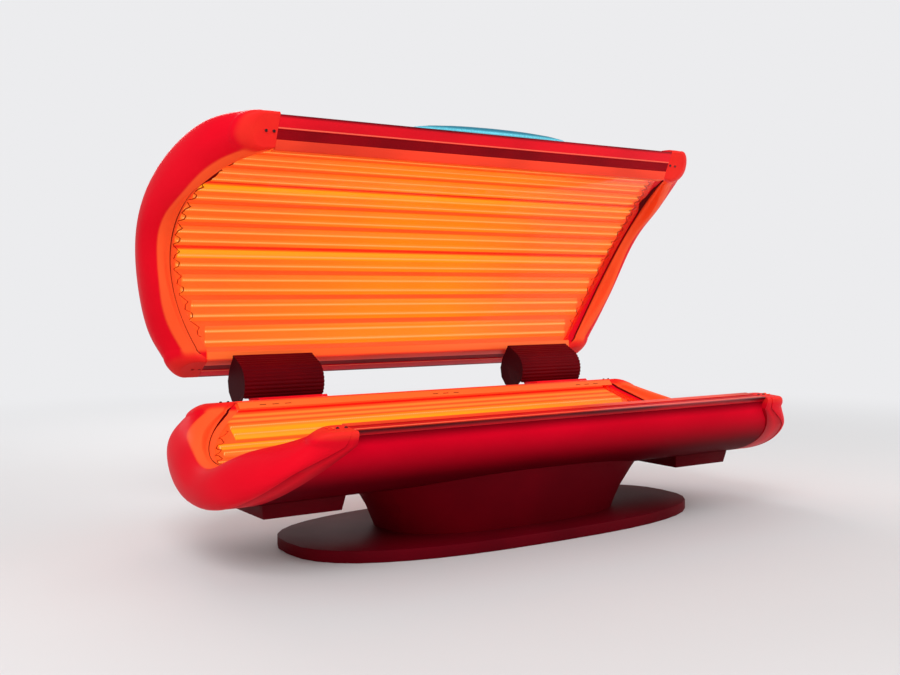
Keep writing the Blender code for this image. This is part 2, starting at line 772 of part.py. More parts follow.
def belly_pans(shop):
    """Front and rear pans under the bed, open above the fans."""
    edge = BED.skin_limit()
    split = SEAT_GAP / (BED.radius * math.radians(BED.half))
    for name, low, high in (("belly_pan_front", -edge, -split), ("belly_pan_rear", split, edge)):
        pan = sheet(name, BED, skin_face(BED), SKIN_WALL, low, high)
        holes = [cylinder(f"{name}_air_{side}", (side * FAN_X, BED_CENTRE_Y, 0), "Z",
                          FAN_OPENING_RADIUS, BED_LYING_HEIGHT) for side in (-1, 1)]
        shop.combine(pan, holes, "DIFFERENCE")
        shop.part(pan, "pan_red")


def air_box(shop, label, side):
    """Flared box under a bed end with a fan in its floor."""
    centre = Vector((side * FAN_X, BED_CENTRE_Y, 0))
    top = BED.yz(0.5, BED.skin_offset(0.5)).y
    rise = top - AIR_BOX_BOTTOM
    rings = []
    for share in (0, 1):
        grow = AIR_BOX_FLARE * share
        corners = [(sx * (AIR_BOX_HALF_LENGTH + grow), sy * (AIR_BOX_HALF_DEPTH + grow))
                   for sx, sy in ((-1, -1), (1, -1), (1, 1), (-1, 1))]
        rings.append([(centre.x + x, centre.y + y, AIR_BOX_BOTTOM + rise * share)
                      for x, y in corners])
    bm, _ = loft(rings, closed=True)
    bm.faces.ensure_lookup_table()
    face_along(bm, bm.faces[0], (0, -1, 0))
    box = thicken(from_bmesh(f"air_box_{label}", bm), AIR_BOX_WALL, -1)
    shop.combine(box, [skin_block(f"bed_clearance_{label}", BED, SEAT_GAP)], "DIFFERENCE")
    shop.part(box, "pan_red")

    lean = math.hypot(1, AIR_BOX_FLARE / rise)
    inset = AIR_BOX_WALL * lean + SEAT_GAP
    half_length = AIR_BOX_HALF_LENGTH - inset
    half_depth = AIR_BOX_HALF_DEPTH - inset
    plate_top = AIR_BOX_BOTTOM + FAN_PLATE_THICKNESS
    outer = [(centre.x + sx * half_length, centre.y + sy * half_depth)
             for sx, sy in ((-1, -1), (1, -1), (1, 1), (-1, 1))]
    hole = [(centre.x + point.x, centre.y + point.y) for point in ring((0, 0), FAN_OPENING_RADIUS)]
    frame = extrusion(f"fan_frame_{label}", [outer, hole], AIR_BOX_BOTTOM, plate_top, "Z")
    hub = cylinder(f"fan_hub_{label}", (centre.x, centre.y, AIR_BOX_BOTTOM), "Z", FAN_HUB_RADIUS,
                   FAN_PLATE_THICKNESS)
    stub = cylinder(f"fan_stub_{label}", (centre.x, centre.y, AIR_BOX_BOTTOM), "Z", FAN_STUB_RADIUS,
                    FAN_PLATE_THICKNESS + FAN_STUB_LENGTH)
    spokes = []
    reach = FAN_OPENING_RADIUS + FAN_SPOKE_WIDTH
    size = (reach + reach, FAN_SPOKE_WIDTH, FAN_SPOKE_THICKNESS)
    for k in range(FAN_SPOKES // 2):
        bar = block(f"fan_spoke_{label}_{k}", size, (0, 0, 0))
        turn = Matrix.Rotation(math.radians(k * 360 / FAN_SPOKES + FAN_SPOKE_TURN), 4, "Z")
        middle = Matrix.Translation((centre.x, centre.y, AIR_BOX_BOTTOM + FAN_PLATE_THICKNESS / 2))
        bar.data.transform(middle @ turn)
        spokes.append(bar)
    shop.combine(frame, spokes + [hub, stub], "UNION")
    shop.part(frame, "fan_black")
    fan_rotor(shop, label, centre, plate_top)


def fan_rotor(shop, label, centre, seat):
    """Hub with pitched blades on the frame's stub."""
    low = seat + SEAT_GAP
    high = low + FAN_ROTOR_HEIGHT
    bore = FAN_STUB_RADIUS + SEAT_GAP
    bore_top = seat + FAN_STUB_LENGTH + SEAT_GAP
    profile = [(0, high), (FAN_HUB_RADIUS - FAN_HUB_BEVEL, high), (FAN_HUB_RADIUS, high - FAN_HUB_BEVEL),
               (FAN_HUB_RADIUS, low), (bore, low), (bore, bore_top), (0, bore_top)]
    spin = Vector((centre.x, centre.y, 0))
    rotor = turned(f"fan_rotor_{label}", profile, spin)
    blades = []
    span = FAN_ROTOR_RADIUS - FAN_BLADE_ROOT
    for k in range(FAN_BLADES):
        blade = block(f"fan_blade_{label}_{k}", (span, FAN_BLADE_WIDTH, FAN_BLADE_THICKNESS),
                      (FAN_BLADE_ROOT + span / 2, 0, 0))
        tilt = Matrix.Rotation(math.radians(FAN_BLADE_PITCH), 4, "X")
        turn = Matrix.Rotation(2 * math.pi * k / FAN_BLADES, 4, "Z")
        lift = Matrix.Translation(spin + Vector((0, 0, (low + high) / 2)))
        blade.data.transform(lift @ turn @ tilt)
        blades.append(blade)
    shop.combine(rotor, blades, "UNION")
    shop.part(rotor, "fan_black")


def spring_travel():
    """Fixed line of a gas spring and the lever pin's place on it, canopy open."""
    half = CANOPY_SWING / 2
    pin = polar(HINGE, SPRING_LEVER, 180 - half)
    line_y = HINGE.x - SPRING_LEVER * (1 + math.cos(math.radians(half))) / 2
    side_play = SPRING_LEVER * (1 - math.cos(math.radians(half))) / 2
    stroke = (pin - polar(HINGE, SPRING_LEVER, 180 + half)).length
    return pin, line_y, side_play, stroke


def across_span(side, low, high):
    """World X range of a range measured outwards from a hinge's middle."""
    ends = sorted((side * (HINGE_X + low), side * (HINGE_X + high)))
    return ends[0], ends[1]


def pin_bore(name, side):
    """Cutter for the hinge pin's bore, through the whole width of a hinge."""
    low, high = across_span(side, -HINGE_COVER_HALF_WIDTH, HINGE_COVER_HALF_WIDTH)
    radius = HINGE_PIN_RADIUS + SEAT_GAP
    return cylinder(name, (low, HINGE.x, HINGE.y), "X", radius, high - low, PIN_SIDES)


def hinge_bracket(shop, label, side):
    """Base on the rear rail, two cheeks up to the pin and down to the gas spring's foot."""
    width = BED.edge_length()
    face, top = -SEAT_GAP, -SEAT_GAP - BRACKET_BASE_THICKNESS
    start, end = BRACKET_BASE_START, width + BRACKET_OVERHANG
    base = [BED.edge_point(BED_REAR, along, depth)
            for along, depth in ((start, face), (end, face), (end, top), (start, top))]
    low, high = across_span(side, -BRACKET_BASE_HALF_WIDTH, BRACKET_BASE_HALF_WIDTH)
    bracket = extrusion(f"hinge_bracket_{label}", [base], low, high, "X")
    _, line_y, _, _ = spring_travel()
    foot = Vector((line_y, HINGE.y - SPRING_FOOT_DROP))
    behind = BED.edge_point(BED_REAR, width + BRACKET_RAIL_CLEARANCE, (face + top) / 2)
    cheek = [BED.edge_point(BED_REAR, width + BRACKET_CHEEK_ROOT, (face + top) / 2)]
    cheek += arc(HINGE, BRACKET_BOSS_RADIUS, 150, -20, 10)
    cheek += arc(foot, BRACKET_FOOT_RADIUS, 10, -170, 8)
    cheek += [Vector((behind.x, foot.y + BRACKET_FOOT_RISE)), behind]
    solids = []
    for sign in (-1, 1):
        middle = sign * BRACKET_CHEEK_OFFSET
        span = across_span(side, middle - BRACKET_CHEEK_THICKNESS / 2, middle + BRACKET_CHEEK_THICKNESS / 2)
        solids.append(extrusion(f"bracket_cheek_{label}_{sign}", [cheek], *span, "X"))
    low, high = across_span(side, -BRACKET_CHEEK_OFFSET, SPRING_OFFSET + SPRING_EYE_WIDTH)
    solids.append(cylinder(f"spring_foot_pin_{label}", (low, foot.x, foot.y), "X", SPRING_PIN_RADIUS,
                           high - low, PIN_SIDES))
    shop.combine(bracket, solids, "UNION")
    shop.combine(bracket, [pin_bore(f"bracket_bore_{label}", side)], "DIFFERENCE")
    shop.part(bracket, "steel")
    inner_face = HINGE_COVER_HALF_WIDTH - HINGE_COVER_CHEEK_INSET - HINGE_COVER_CHEEK - SEAT_GAP
    low, high = across_span(side, -inner_face, inner_face)
    pin = cylinder(f"hinge_pin_{label}", (low, HINGE.x, HINGE.y), "X", HINGE_PIN_RADIUS, high - low,
                   PIN_SIDES)
    shop.part(pin, "steel")


def hinge_yoke(shop, label, side):
    """Canopy half of a hinge: flange on the rear rail, two plates and the spring's lever."""
    width = CANOPY.edge_length()
    face, low_face = -SEAT_GAP, -SEAT_GAP - YOKE_FLANGE_THICKNESS
    start, end = YOKE_FLANGE_START, width - YOKE_FLANGE_END
    flange = [CANOPY.edge_point(CANOPY_REAR, along, depth)
              for along, depth in ((start, face), (end, face), (end, low_face), (start, low_face))]
    half_width = YOKE_PLATE_OFFSET + YOKE_PLATE_THICKNESS
    low, high = across_span(side, -half_width, half_width)
    yoke = extrusion(f"hinge_yoke_{label}", [flange], low, high, "X")
    reach = YOKE_ARM_RADIUS - low_face - YOKE_FLANGE_THICKNESS / 2
    head = CANOPY.edge_point(CANOPY_REAR, (start + end) / 2, -reach)
    solids = []
    for sign in (-1, 1):
        middle = sign * YOKE_PLATE_OFFSET
        span = across_span(side, middle - YOKE_PLATE_THICKNESS / 2, middle + YOKE_PLATE_THICKNESS / 2)
        plate = link(HINGE, YOKE_BOSS_RADIUS, head, YOKE_ARM_RADIUS)
        solids.append(extrusion(f"yoke_plate_{label}_{sign}", [plate], *span, "X"))
    pin, _, _, _ = spring_travel()
    middle = YOKE_PLATE_OFFSET
    span = across_span(side, middle - YOKE_PLATE_THICKNESS / 2, middle + YOKE_PLATE_THICKNESS / 2)
    lever = link(HINGE, YOKE_BOSS_RADIUS, pin, YOKE_LEVER_RADIUS)
    solids.append(extrusion(f"yoke_lever_{label}", [lever], *span, "X"))
    low, high = across_span(side, YOKE_PLATE_OFFSET, SPRING_OFFSET + SPRING_EYE_WIDTH)
    solids.append(cylinder(f"lever_pin_{label}", (low, pin.x, pin.y), "X", SPRING_PIN_RADIUS,
                           high - low, PIN_SIDES))
    shop.combine(yoke, solids, "UNION")
    shop.combine(yoke, [pin_bore(f"yoke_bore_{label}", side)], "DIFFERENCE")
    shop.part(yoke, "steel", moving=True)


def hinge_cover(shop, label, side):
    """Ribbed cover round the hinge, peaked at the top and standing on the bracket's base."""
    radius = HINGE_COVER_RADIUS
    seat = BED.edge_point(BED_REAR, BED.edge_length() / 2, -2 * SEAT_GAP - BRACKET_BASE_THICKNESS)
    inner, outer, _ = BED.edge(BED_REAR)
    slope = (outer - inner).normalized()
    normal = Vector((-slope.y, slope.x))
    drop = normal.dot(HINGE - seat) / radius
    bottom = math.degrees(math.atan2(normal.y, normal.x)) + math.degrees(math.acos(-drop))
    round_from = HINGE_COVER_PEAK_ANGLE + math.degrees(math.acos(radius / HINGE_COVER_PEAK))
    straight = math.sqrt(HINGE_COVER_PEAK ** 2 - radius ** 2)
    length = straight + radius * math.radians(bottom - round_from)

    def place(run, level):
        """Point of the wall a run from its peak, at a distance from the hinge's side."""
        if run < straight:
            return polar(polar(HINGE, level, round_from), straight - run, round_from - 90)
        return polar(HINGE, level, round_from + math.degrees((run - straight) / radius))

    groove = radius - HINGE_COVER_RIB_DEPTH
    inside = groove - HINGE_COVER_WALL
    step = length / HINGE_COVER_RIBS
    wall = []
    for k in range(HINGE_COVER_RIBS):
        for share, level in ((0.0, groove), (0.2, radius), (0.6, radius), (0.8, groove)):
            wall.append(place((k + share) * step, level))
    wall.append(place(length, groove))
    arc_step = (length - straight) / HINGE_COVER_ARC_POINTS
    for k in range(HINGE_COVER_ARC_POINTS, -1, -1):
        wall.append(place(straight + k * arc_step, inside))
    wall.append(place(0, inside))
    low, high = across_span(side, -HINGE_COVER_HALF_WIDTH, HINGE_COVER_HALF_WIDTH)
    cover = extrusion(f"hinge_cover_{label}", [wall], low, high, "X")
    middle = inside + HINGE_COVER_WALL / 2
    peak = place(0, middle)
    outline = link(HINGE, middle, peak, HINGE_COVER_WALL / 4, HINGE_COVER_ARC_POINTS)
    cheeks = []
    for sign in (-1, 1):
        face = HINGE_COVER_HALF_WIDTH - HINGE_COVER_CHEEK_INSET
        span = across_span(side, sign * (face - HINGE_COVER_CHEEK), sign * face)
        cheeks.append(extrusion(f"cover_cheek_{label}_{sign}", [outline], *span, "X"))
    shop.combine(cover, cheeks, "UNION")
    shop.part(cover, "cover_black")


def gas_spring(shop, label, side):
    """Cylinder on the bracket's foot pin and rod with an eye round the lever's pin."""
    pin, line_y, side_play, stroke = spring_travel()
    x = side * (HINGE_X + SPRING_OFFSET)
    foot = HINGE.y - SPRING_FOOT_DROP
    span = (x - SPRING_EYE_WIDTH / 2, x + SPRING_EYE_WIDTH / 2)
    top = foot + SPRING_CYLINDER_LENGTH
    eye_hole = SPRING_PIN_RADIUS + SEAT_GAP
    eye_radius = eye_hole + SPRING_EYE_WALL
    start = foot + eye_hole + SPRING_EYE_WALL / 2
    bore = SPRING_ROD_RADIUS + SPRING_ROD_CLEARANCE
    rod_end = top - SPRING_ROD_GRIP
    bore_end = rod_end - stroke - SPRING_BORE_SPARE
    profile = [(0, bore_end), (bore, bore_end), (bore, top), (SPRING_CRIMP_RADIUS, top),
               (SPRING_CYLINDER_RADIUS, top - SPRING_CRIMP), (SPRING_CYLINDER_RADIUS, start + SPRING_CRIMP),
               (SPRING_CRIMP_RADIUS, start), (0, start)]
    body = turned(f"gas_cylinder_{label}", profile, (x, line_y, 0), PIN_SIDES)
    foot_place = Vector((line_y, foot))
    eye_rings = [ring(foot_place, radius, PIN_SIDES) for radius in (eye_radius, eye_hole)]
    eye = extrusion(f"foot_eye_{label}", eye_rings, *span, "X")
    shop.combine(body, [eye], "UNION")
    shop.part(body, "cover_black")
    slot = SPRING_PIN_RADIUS + side_play + SPRING_PIVOT_PLAY
    head = Vector((line_y, pin.y))
    rod_top = pin.y - slot - SPRING_EYE_WALL / 2
    rod_profile = [(0, rod_top), (SPRING_ROD_RADIUS, rod_top), (SPRING_ROD_RADIUS, rod_end), (0, rod_end)]
    rod = turned(f"gas_rod_{label}", rod_profile, (x, line_y, 0), PIN_SIDES)
    eye_rings = [ring(head, radius, PIN_SIDES) for radius in (slot + SPRING_EYE_WALL, slot)]
    eye = extrusion(f"rod_eye_{label}", eye_rings, *span, "X")
    shop.combine(rod, [eye], "UNION")
    shop.part(rod, "steel")


def accent_lens(shop):
    """Long cyan lens that swells out of the canopy's front top edge."""
    arc_rate = (CANOPY.radius + CANOPY.rail_outer) * math.radians(CANOPY.half)
    t = 1 - (LENS_HALF_WIDTH + LENS_SETBACK) / arc_rate
    spot = CANOPY.yz(t, CANOPY.skin_offset(t))
    bm = bmesh.new()
    bmesh.ops.create_uvsphere(bm, u_segments=LENS_SIDES, v_segments=LENS_RINGS, radius=1.0)
    bmesh.ops.bisect_plane(bm, geom=bm.verts[:] + bm.edges[:] + bm.faces[:], dist=1e-6,
                           plane_co=(0, 0, -LENS_ROOT), plane_no=(0, 0, 1), clear_inner=True)
    bmesh.ops.holes_fill(bm, edges=bm.edges)
    bm.transform(Matrix.Diagonal((LENS_HALF_LENGTH, LENS_HALF_WIDTH, LENS_HEIGHT, 1.0)))
    tilt = math.radians(CANOPY.angle(t, CANOPY.skin) - 90)
    bm.transform(Matrix.Translation((0, spot.x, spot.y)) @ Matrix.Rotation(tilt, 4, "X"))
    lens = from_bmesh("accent_lens", bm)
    shop.combine(lens, [skin_block("canopy_clearance_lens", CANOPY, SEAT_GAP)], "DIFFERENCE")
    shop.part(lens, "lens_cyan", moving=True)


def trough_shell(shop, prefix, trough, front, rear, moving):
    """Rails, strips and end caps of a trough."""
    for label, edge in (("front", front), ("rear", rear)):
        rail(shop, f"{prefix}_{label}_rail", trough, edge, "rail_metal", moving)
        strip(shop, f"{prefix}_{label}_strip", trough, edge, "strip_maroon", moving)
    for label, side in (("left", -1), ("right", 1)):
        end_cap(shop, f"{prefix}_end_cap_{label}", trough, side, "shell_red", moving)


def main():
    """Build every part."""
    shop = Workshop()
    base_and_pedestal(shop)
    bed_frame(shop)
    belly_pans(shop)
    trough_shell(shop, "bed", BED, BED_FRONT, BED_REAR, moving=False)
    light_field(shop, "bed", BED, BED_BOARDS, BED_BOARD_PITCH, moving=False)
    trough_shell(shop, "canopy", CANOPY, CANOPY_FRONT, CANOPY_REAR, moving=True)
    light_field(shop, "canopy", CANOPY, CANOPY_BOARDS, CANOPY_BOARD_PITCH, moving=True)
    edge = CANOPY.skin_limit()
    cover = sheet("canopy_cover", CANOPY, skin_face(CANOPY), SKIN_WALL, -edge, edge)
    shop.part(cover, "shell_red", moving=True)
    accent_lens(shop)
    for label, side in (("left", -1), ("right", 1)):
        air_box(shop, label, side)
        hinge_bracket(shop, label, side)
        hinge_cover(shop, label, side)
        hinge_yoke(shop, label, side)
        gas_spring(shop, label, side)


main()
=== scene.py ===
"""Looks of a red light therapy bed with a hinged canopy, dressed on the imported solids.

Metres, +Z up, in the frame of the solids: X runs along the bed, the open front faces -Y.
"""

import logging
import math
from dataclasses import dataclass, field
from enum import Enum
from typing import Callable, Optional, Sequence, Union

import bmesh
import bpy
from mathutils import Matrix, Vector


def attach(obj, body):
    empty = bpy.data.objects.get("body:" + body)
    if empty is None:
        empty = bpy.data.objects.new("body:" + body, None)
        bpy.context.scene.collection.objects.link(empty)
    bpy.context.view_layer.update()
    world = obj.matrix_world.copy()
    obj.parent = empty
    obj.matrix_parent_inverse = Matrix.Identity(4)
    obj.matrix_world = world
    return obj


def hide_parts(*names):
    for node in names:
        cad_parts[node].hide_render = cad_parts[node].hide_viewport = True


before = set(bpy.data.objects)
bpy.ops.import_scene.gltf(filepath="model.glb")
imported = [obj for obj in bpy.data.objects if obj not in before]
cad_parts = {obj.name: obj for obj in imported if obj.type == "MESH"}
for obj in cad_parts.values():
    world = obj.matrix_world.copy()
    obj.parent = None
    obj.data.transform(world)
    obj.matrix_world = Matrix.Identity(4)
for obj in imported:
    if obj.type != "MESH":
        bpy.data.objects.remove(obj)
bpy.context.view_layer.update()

log = logging.getLogger("light_bed")

Colour = tuple[float, float, float]
Setting = Union[str, int, float, bool, Sequence]


def tone(red: int, green: int, blue: int) -> Colour:
    """Linear colour of a display colour.

    Args:
        red: Red share, 0 to 255.
        green: Green share, 0 to 255.
        blue: Blue share, 0 to 255.

    Returns:
        The linear colour that displays as those shares.
    """
    shares = [value / 255 for value in (red, green, blue)]
    lines = [v / 12.92 if v <= 0.04045 else ((v + 0.055) / 1.055) ** 2.4 for v in shares]
    return lines[0], lines[1], lines[2]


def ease(low: float, high: float, value: float) -> float:
    """Smooth step of a value between two limits."""
    share = min(max((value - low) / (high - low), 0.0), 1.0)
    return share * share * (3 - 2 * share)


class Side(Enum):
    """End of the bed, with its sign along X."""

    LEFT = -1
    RIGHT = 1


class Slot(Enum):
    """Material slots of the record."""

    SHELL = "shell_red"
    PAN = "pan_red"
    BASE = "base_maroon"
    RAIL = "rail_metal"
    STRIP = "strip_maroon"
    ACRYLIC = "clear_acrylic"
    BOARD = "led_board"
    TRAY = "tray_metal"
    COVER = "cover_black"
    BRACKET = "bracket_steel"
    PIN = "pin_steel"
    SPRING = "spring_black"
    ROD = "rod_chrome"
    FAN = "fan_black"
    FRAME = "frame_metal"
    DRIVER = "driver_metal"
    LENS = "lens_cyan"


class Signal:
    """A node socket that takes part in Python arithmetic."""

    def __init__(self, graph: "Graph", socket: bpy.types.NodeSocket) -> None:
        """Wrap a socket of a graph."""
        self.graph = graph
        self.socket = socket

    def step(self, operation: str, *terms: "Number") -> "Signal":
        """Math node over the given terms."""
        made = self.graph.node("ShaderNodeMath", {"operation": operation}, dict(enumerate(terms)))
        return Signal(self.graph, made.outputs[0])

    def __add__(self, other: "Number") -> "Signal":
        """Sum."""
        return self.step("ADD", self, other)

    __radd__ = __add__

    def __sub__(self, other: "Number") -> "Signal":
        """Difference."""
        return self.step("SUBTRACT", self, other)

    def __rsub__(self, other: "Number") -> "Signal":
        """Difference from a number."""
        return self.step("SUBTRACT", other, self)

    def __mul__(self, other: "Number") -> "Signal":
        """Product."""
        return self.step("MULTIPLY", self, other)

    __rmul__ = __mul__

    def __truediv__(self, other: "Number") -> "Signal":
        """Quotient."""
        return self.step("DIVIDE", self, other)

    def __rtruediv__(self, other: "Number") -> "Signal":
        """Quotient of a number."""
        return self.step("DIVIDE", other, self)

    def __abs__(self) -> "Signal":
        """Size without sign."""
        return self.step("ABSOLUTE", self)

    def fraction(self) -> "Signal":
        """Part after the whole number."""
        return self.step("FRACT", self)

    def root(self) -> "Signal":
        """Square root."""
        return self.step("SQRT", self)

    def power(self, exponent: float) -> "Signal":
        """Power."""
        return self.step("POWER", self, exponent)

    def ease(self, low: float, high: float, start: float = 0.0, end: float = 1.0) -> "Signal":
        """Smooth step between two values.

        Args:
            low: Value at which the step starts.
            high: Value at which it ends.
            start: Result at and below the low value.
            end: Result at and above the high value.

        Returns:
            The eased signal.
        """
        made = self.graph.node(
            "ShaderNodeMapRange", {"interpolation_type": "SMOOTHSTEP"},
            {"Value": self, "From Min": low, "From Max": high, "To Min": start, "To Max": end})
        return Signal(self.graph, made.outputs["Result"])


Number = Union[Signal, float, int]


class Graph:
    """Node tree of one material."""

    def __init__(self, tree: bpy.types.NodeTree) -> None:
        """Empty a tree and start over in it."""
        self.tree = tree
        tree.nodes.clear()

    def node(self, kind: str, settings: Optional[dict[str, Setting]] = None,
             sockets: Optional[dict] = None) -> bpy.types.Node:
        """Add one node.

        Args:
            kind: Blender's name of the node's type.
            settings: Properties of the node, set before its sockets.
            sockets: Values, signals or sockets for its inputs, by name or number.

        Returns:
            The new node.
        """
        made = self.tree.nodes.new(kind)
        for name, value in (settings or {}).items():
            setattr(made, name, value)
        for key, value in (sockets or {}).items():
            target = made.inputs[key]
            if isinstance(value, Signal):
                self.tree.links.new(value.socket, target)
            elif isinstance(value, bpy.types.NodeSocket):
                self.tree.links.new(value, target)
            elif target.type == "RGBA":
                target.default_value = (*value, 1.0)
            else:
                target.default_value = value
        return made

    def place(self, stretch: Optional[Sequence[float]] = None) -> bpy.types.NodeSocket:
        """Object coordinates, stretched by axis where asked.

        Args:
            stretch: Scale of each axis, or none.

        Returns:
            Socket of the coordinates.
        """
        spot = self.node("ShaderNodeTexCoord").outputs["Object"]
        if stretch is None:
            return spot
        return self.node("ShaderNodeMapping", {}, {"Vector": spot, "Scale": tuple(stretch)}).outputs[0]

    def axis(self, letter: str) -> Signal:
        """One object coordinate, in metres."""
        parts = self.node("ShaderNodeSeparateXYZ", {}, {0: self.place()})
        return Signal(self, parts.outputs[letter])

    def trait(self, name: str) -> Signal:
        """A surface attribute of the piece."""
        made = self.node("ShaderNodeAttribute", {"attribute_name": name})
        return Signal(self, made.outputs["Fac"])

    def noise(self, scale: float, detail: float = 2.0,
              stretch: Optional[Sequence[float]] = None) -> Signal:
        """Cloudy noise about one half, over object coordinates."""
        made = self.node("ShaderNodeTexNoise", {},
                         {"Vector": self.place(stretch), "Scale": scale, "Detail": detail})
        return Signal(self, made.outputs[0])

    def mix(self, share: Number, first: Union[Colour, bpy.types.NodeSocket],
            second: Union[Colour, bpy.types.NodeSocket]) -> bpy.types.NodeSocket:
        """Colour between two colours."""
        made = self.node("ShaderNodeMix", {"data_type": "RGBA"}, {0: share, 6: first, 7: second})
        return made.outputs[2]

    def relief(self, height: Signal, depth: float) -> bpy.types.NodeSocket:
        """Normal of a bumpy surface whose bumps have a depth in metres."""
        made = self.node("ShaderNodeBump", {}, {"Strength": 1.0, "Distance": depth, "Height": height})
        return made.outputs[0]

    def surface(self, shader: bpy.types.Node) -> None:
        """Send a shader to the material's surface."""
        self.node("ShaderNodeOutputMaterial", {}, {"Surface": shader.outputs[0]})


@dataclass(frozen=True)
class Finish:
    """What all finishes share: a name, a slot and a plain roughness."""

    name: str
    slot: Slot
    roughness: float

    def dress(self, graph: Graph) -> bpy.types.Node:
        """Shader of this finish."""
        raise NotImplementedError

    def material(self) -> bpy.types.Material:
        """The finish's material, made once.

        Returns:
            The material.
        """
        if self.name in bpy.data.materials and "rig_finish" in bpy.data.materials[self.name]:
            return bpy.data.materials[self.name]
        made = bpy.data.materials.new(self.name)
        made.name = self.name
        made["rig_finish"] = True
        made.use_nodes = True
        graph = Graph(made.node_tree)
        graph.surface(self.dress(graph))
        return made


@dataclass(frozen=True)
class MouldedFinish(Finish):
    """Moulded or painted plastic with a fine skin and cloudy tone; where asked it also carries painted
    light in a lit colour, a darker colour on marked faces, and painted shade that grows towards the bottom
    under a painted shadow band.
    """

    colour: Colour
    deep: Colour
    lit: Optional[Colour] = None
    under: Optional[Colour] = None
    grain: float = 420.0
    depth: float = 0.00006
    gloss: float = 0.5
    shade: Optional[Colour] = None
    shade_top: float = 0.0
    shade_bottom: float = 0.0
    overhang_shadow_top: float = 9.0
    overhang_shadow_depth: float = 0.036

    def dress(self, graph: Graph) -> bpy.types.Node:
        """Plastic shader.

        Args:
            graph: Graph of the finish's material.

        Returns:
            The shader's node.
        """
        cloud = graph.noise(2.4, 3.0)
        skin = graph.noise(self.grain, 2.0)
        colour = graph.mix(cloud.ease(0.30, 0.70), self.colour, self.deep)
        # Darker colour on marked faces: painted shade along the end caps' seam and underside, in the red of
        # the shaded pan; the darker cheeks of the hinge covers.
        if self.under:
            colour = graph.mix(graph.trait("under"), colour, self.under)
        # Painted shade: darker towards the bottom, under a painted shadow band along the top.
        if self.shade:
            height = graph.axis("Z") + (cloud - 0.5) * 0.03
            fall = height.ease(self.shade_bottom, self.shade_top, 1.0, 0.0)
            over = graph.axis("Z").ease(self.overhang_shadow_top - self.overhang_shadow_depth, self.overhang_shadow_top, 0.0, 0.8)
            colour = graph.mix(fall + over, colour, self.shade)
        # Painted light: the glow of the LED boards on the end caps, where the lit attribute is set.
        if self.lit:
            edge = graph.trait("lit") + (graph.noise(9.0) - 0.5) * 0.10
            colour = graph.mix(edge.ease(0.25, 0.75), colour, self.lit)
        rough = self.roughness + (cloud - 0.5) * 0.14 + (skin - 0.5) * 0.10
        return graph.node("ShaderNodeBsdfPrincipled", {}, {
            "Base Color": colour, "Roughness": rough, "Specular IOR Level": self.gloss,
            "Normal": graph.relief(skin, self.depth)})


@dataclass(frozen=True)
class RailFinish(Finish):
    """Anodised channel banded with painted light and shade: an inner flange and inner leg painted lit, a
    painted highlight line, and painted shade on the outer edge and the outer leg.
    """

    outer: Colour
    inner: Colour
    dark: Colour
    bright: Colour
    leg: Colour
    groove: float
    shine: float
    shine_half: float
    width: float

    def dress(self, graph: Graph) -> bpy.types.Node:
        """Brushed metal shader banded across the edge face with painted light and shade.

        Args:
            graph: Graph of the finish's material.

        Returns:
            The shader's node.
        """
        along = graph.trait("along")
        depth = graph.trait("depth")
        brush = graph.noise(1.0, 3.0, (6.0, 900.0, 900.0))
        cloud = graph.noise(3.2, 2.0, (0.6, 1.0, 1.0))
        # Painted light: the inner flange in lit coral, the outer one in the rail's own red.
        flange = graph.mix(along.ease(self.groove - 0.002, self.groove + 0.002), self.inner, self.outer)
        # Painted shade towards the outer edge, over a random darker mottle.
        shaded = (cloud.ease(0.35, 0.75) * 0.35
                  + along.ease(self.width - 0.014, self.width - 0.002) * 0.75)
        colour = graph.mix(shaded, flange, self.dark)
        # Painted shade on the outer leg.
        outside = along.ease(0.45 * self.width, 0.55 * self.width)
        colour = graph.mix(depth.ease(0.001, 0.006) * outside, colour, self.dark)
        # Painted light of the LED boards on the inner leg.
        inside = along.ease(0.15 * self.width, 0.25 * self.width, 1.0, 0.0)
        colour = graph.mix(depth.ease(0.002, 0.010) * inside, colour, self.leg)
        # Painted highlight: a bright line beside the groove.
        rim = abs(along - self.shine).ease(self.shine_half, self.shine_half + 0.0018, 0.8, 0.0)
        colour = graph.mix(rim * depth.ease(0.001, 0.003, 1.0, 0.0), colour, self.bright)
        return graph.node("ShaderNodeBsdfPrincipled", {}, {
            "Base Color": colour, "Metallic": 0.10, "Specular IOR Level": 0.10,
            "Roughness": self.roughness + (brush - 0.5) * 0.22,
            "Normal": graph.relief(brush, 0.00004)})


@dataclass(frozen=True)
class MetalFinish(Finish):
    """Rolled or turned metal with a brushed grain along X."""

    colour: Colour
    deep: Colour
    metallic: float = 1.0
    grain: Sequence[float] = (10.0, 700.0, 700.0)

    def dress(self, graph: Graph) -> bpy.types.Node:
        """Brushed metal shader.

        Args:
            graph: Graph of the finish's material.

        Returns:
            The shader's node.
        """
        brush = graph.noise(1.0, 3.0, self.grain)
        cloud = graph.noise(7.0, 3.0)
        return graph.node("ShaderNodeBsdfPrincipled", {}, {
            "Base Color": graph.mix(cloud.ease(0.3, 0.7), self.colour, self.deep),
            "Metallic": self.metallic,
            "Roughness": self.roughness + (brush - 0.5) * 0.20 + (cloud - 0.5) * 0.10,
            "Normal": graph.relief(brush, 0.00005)})


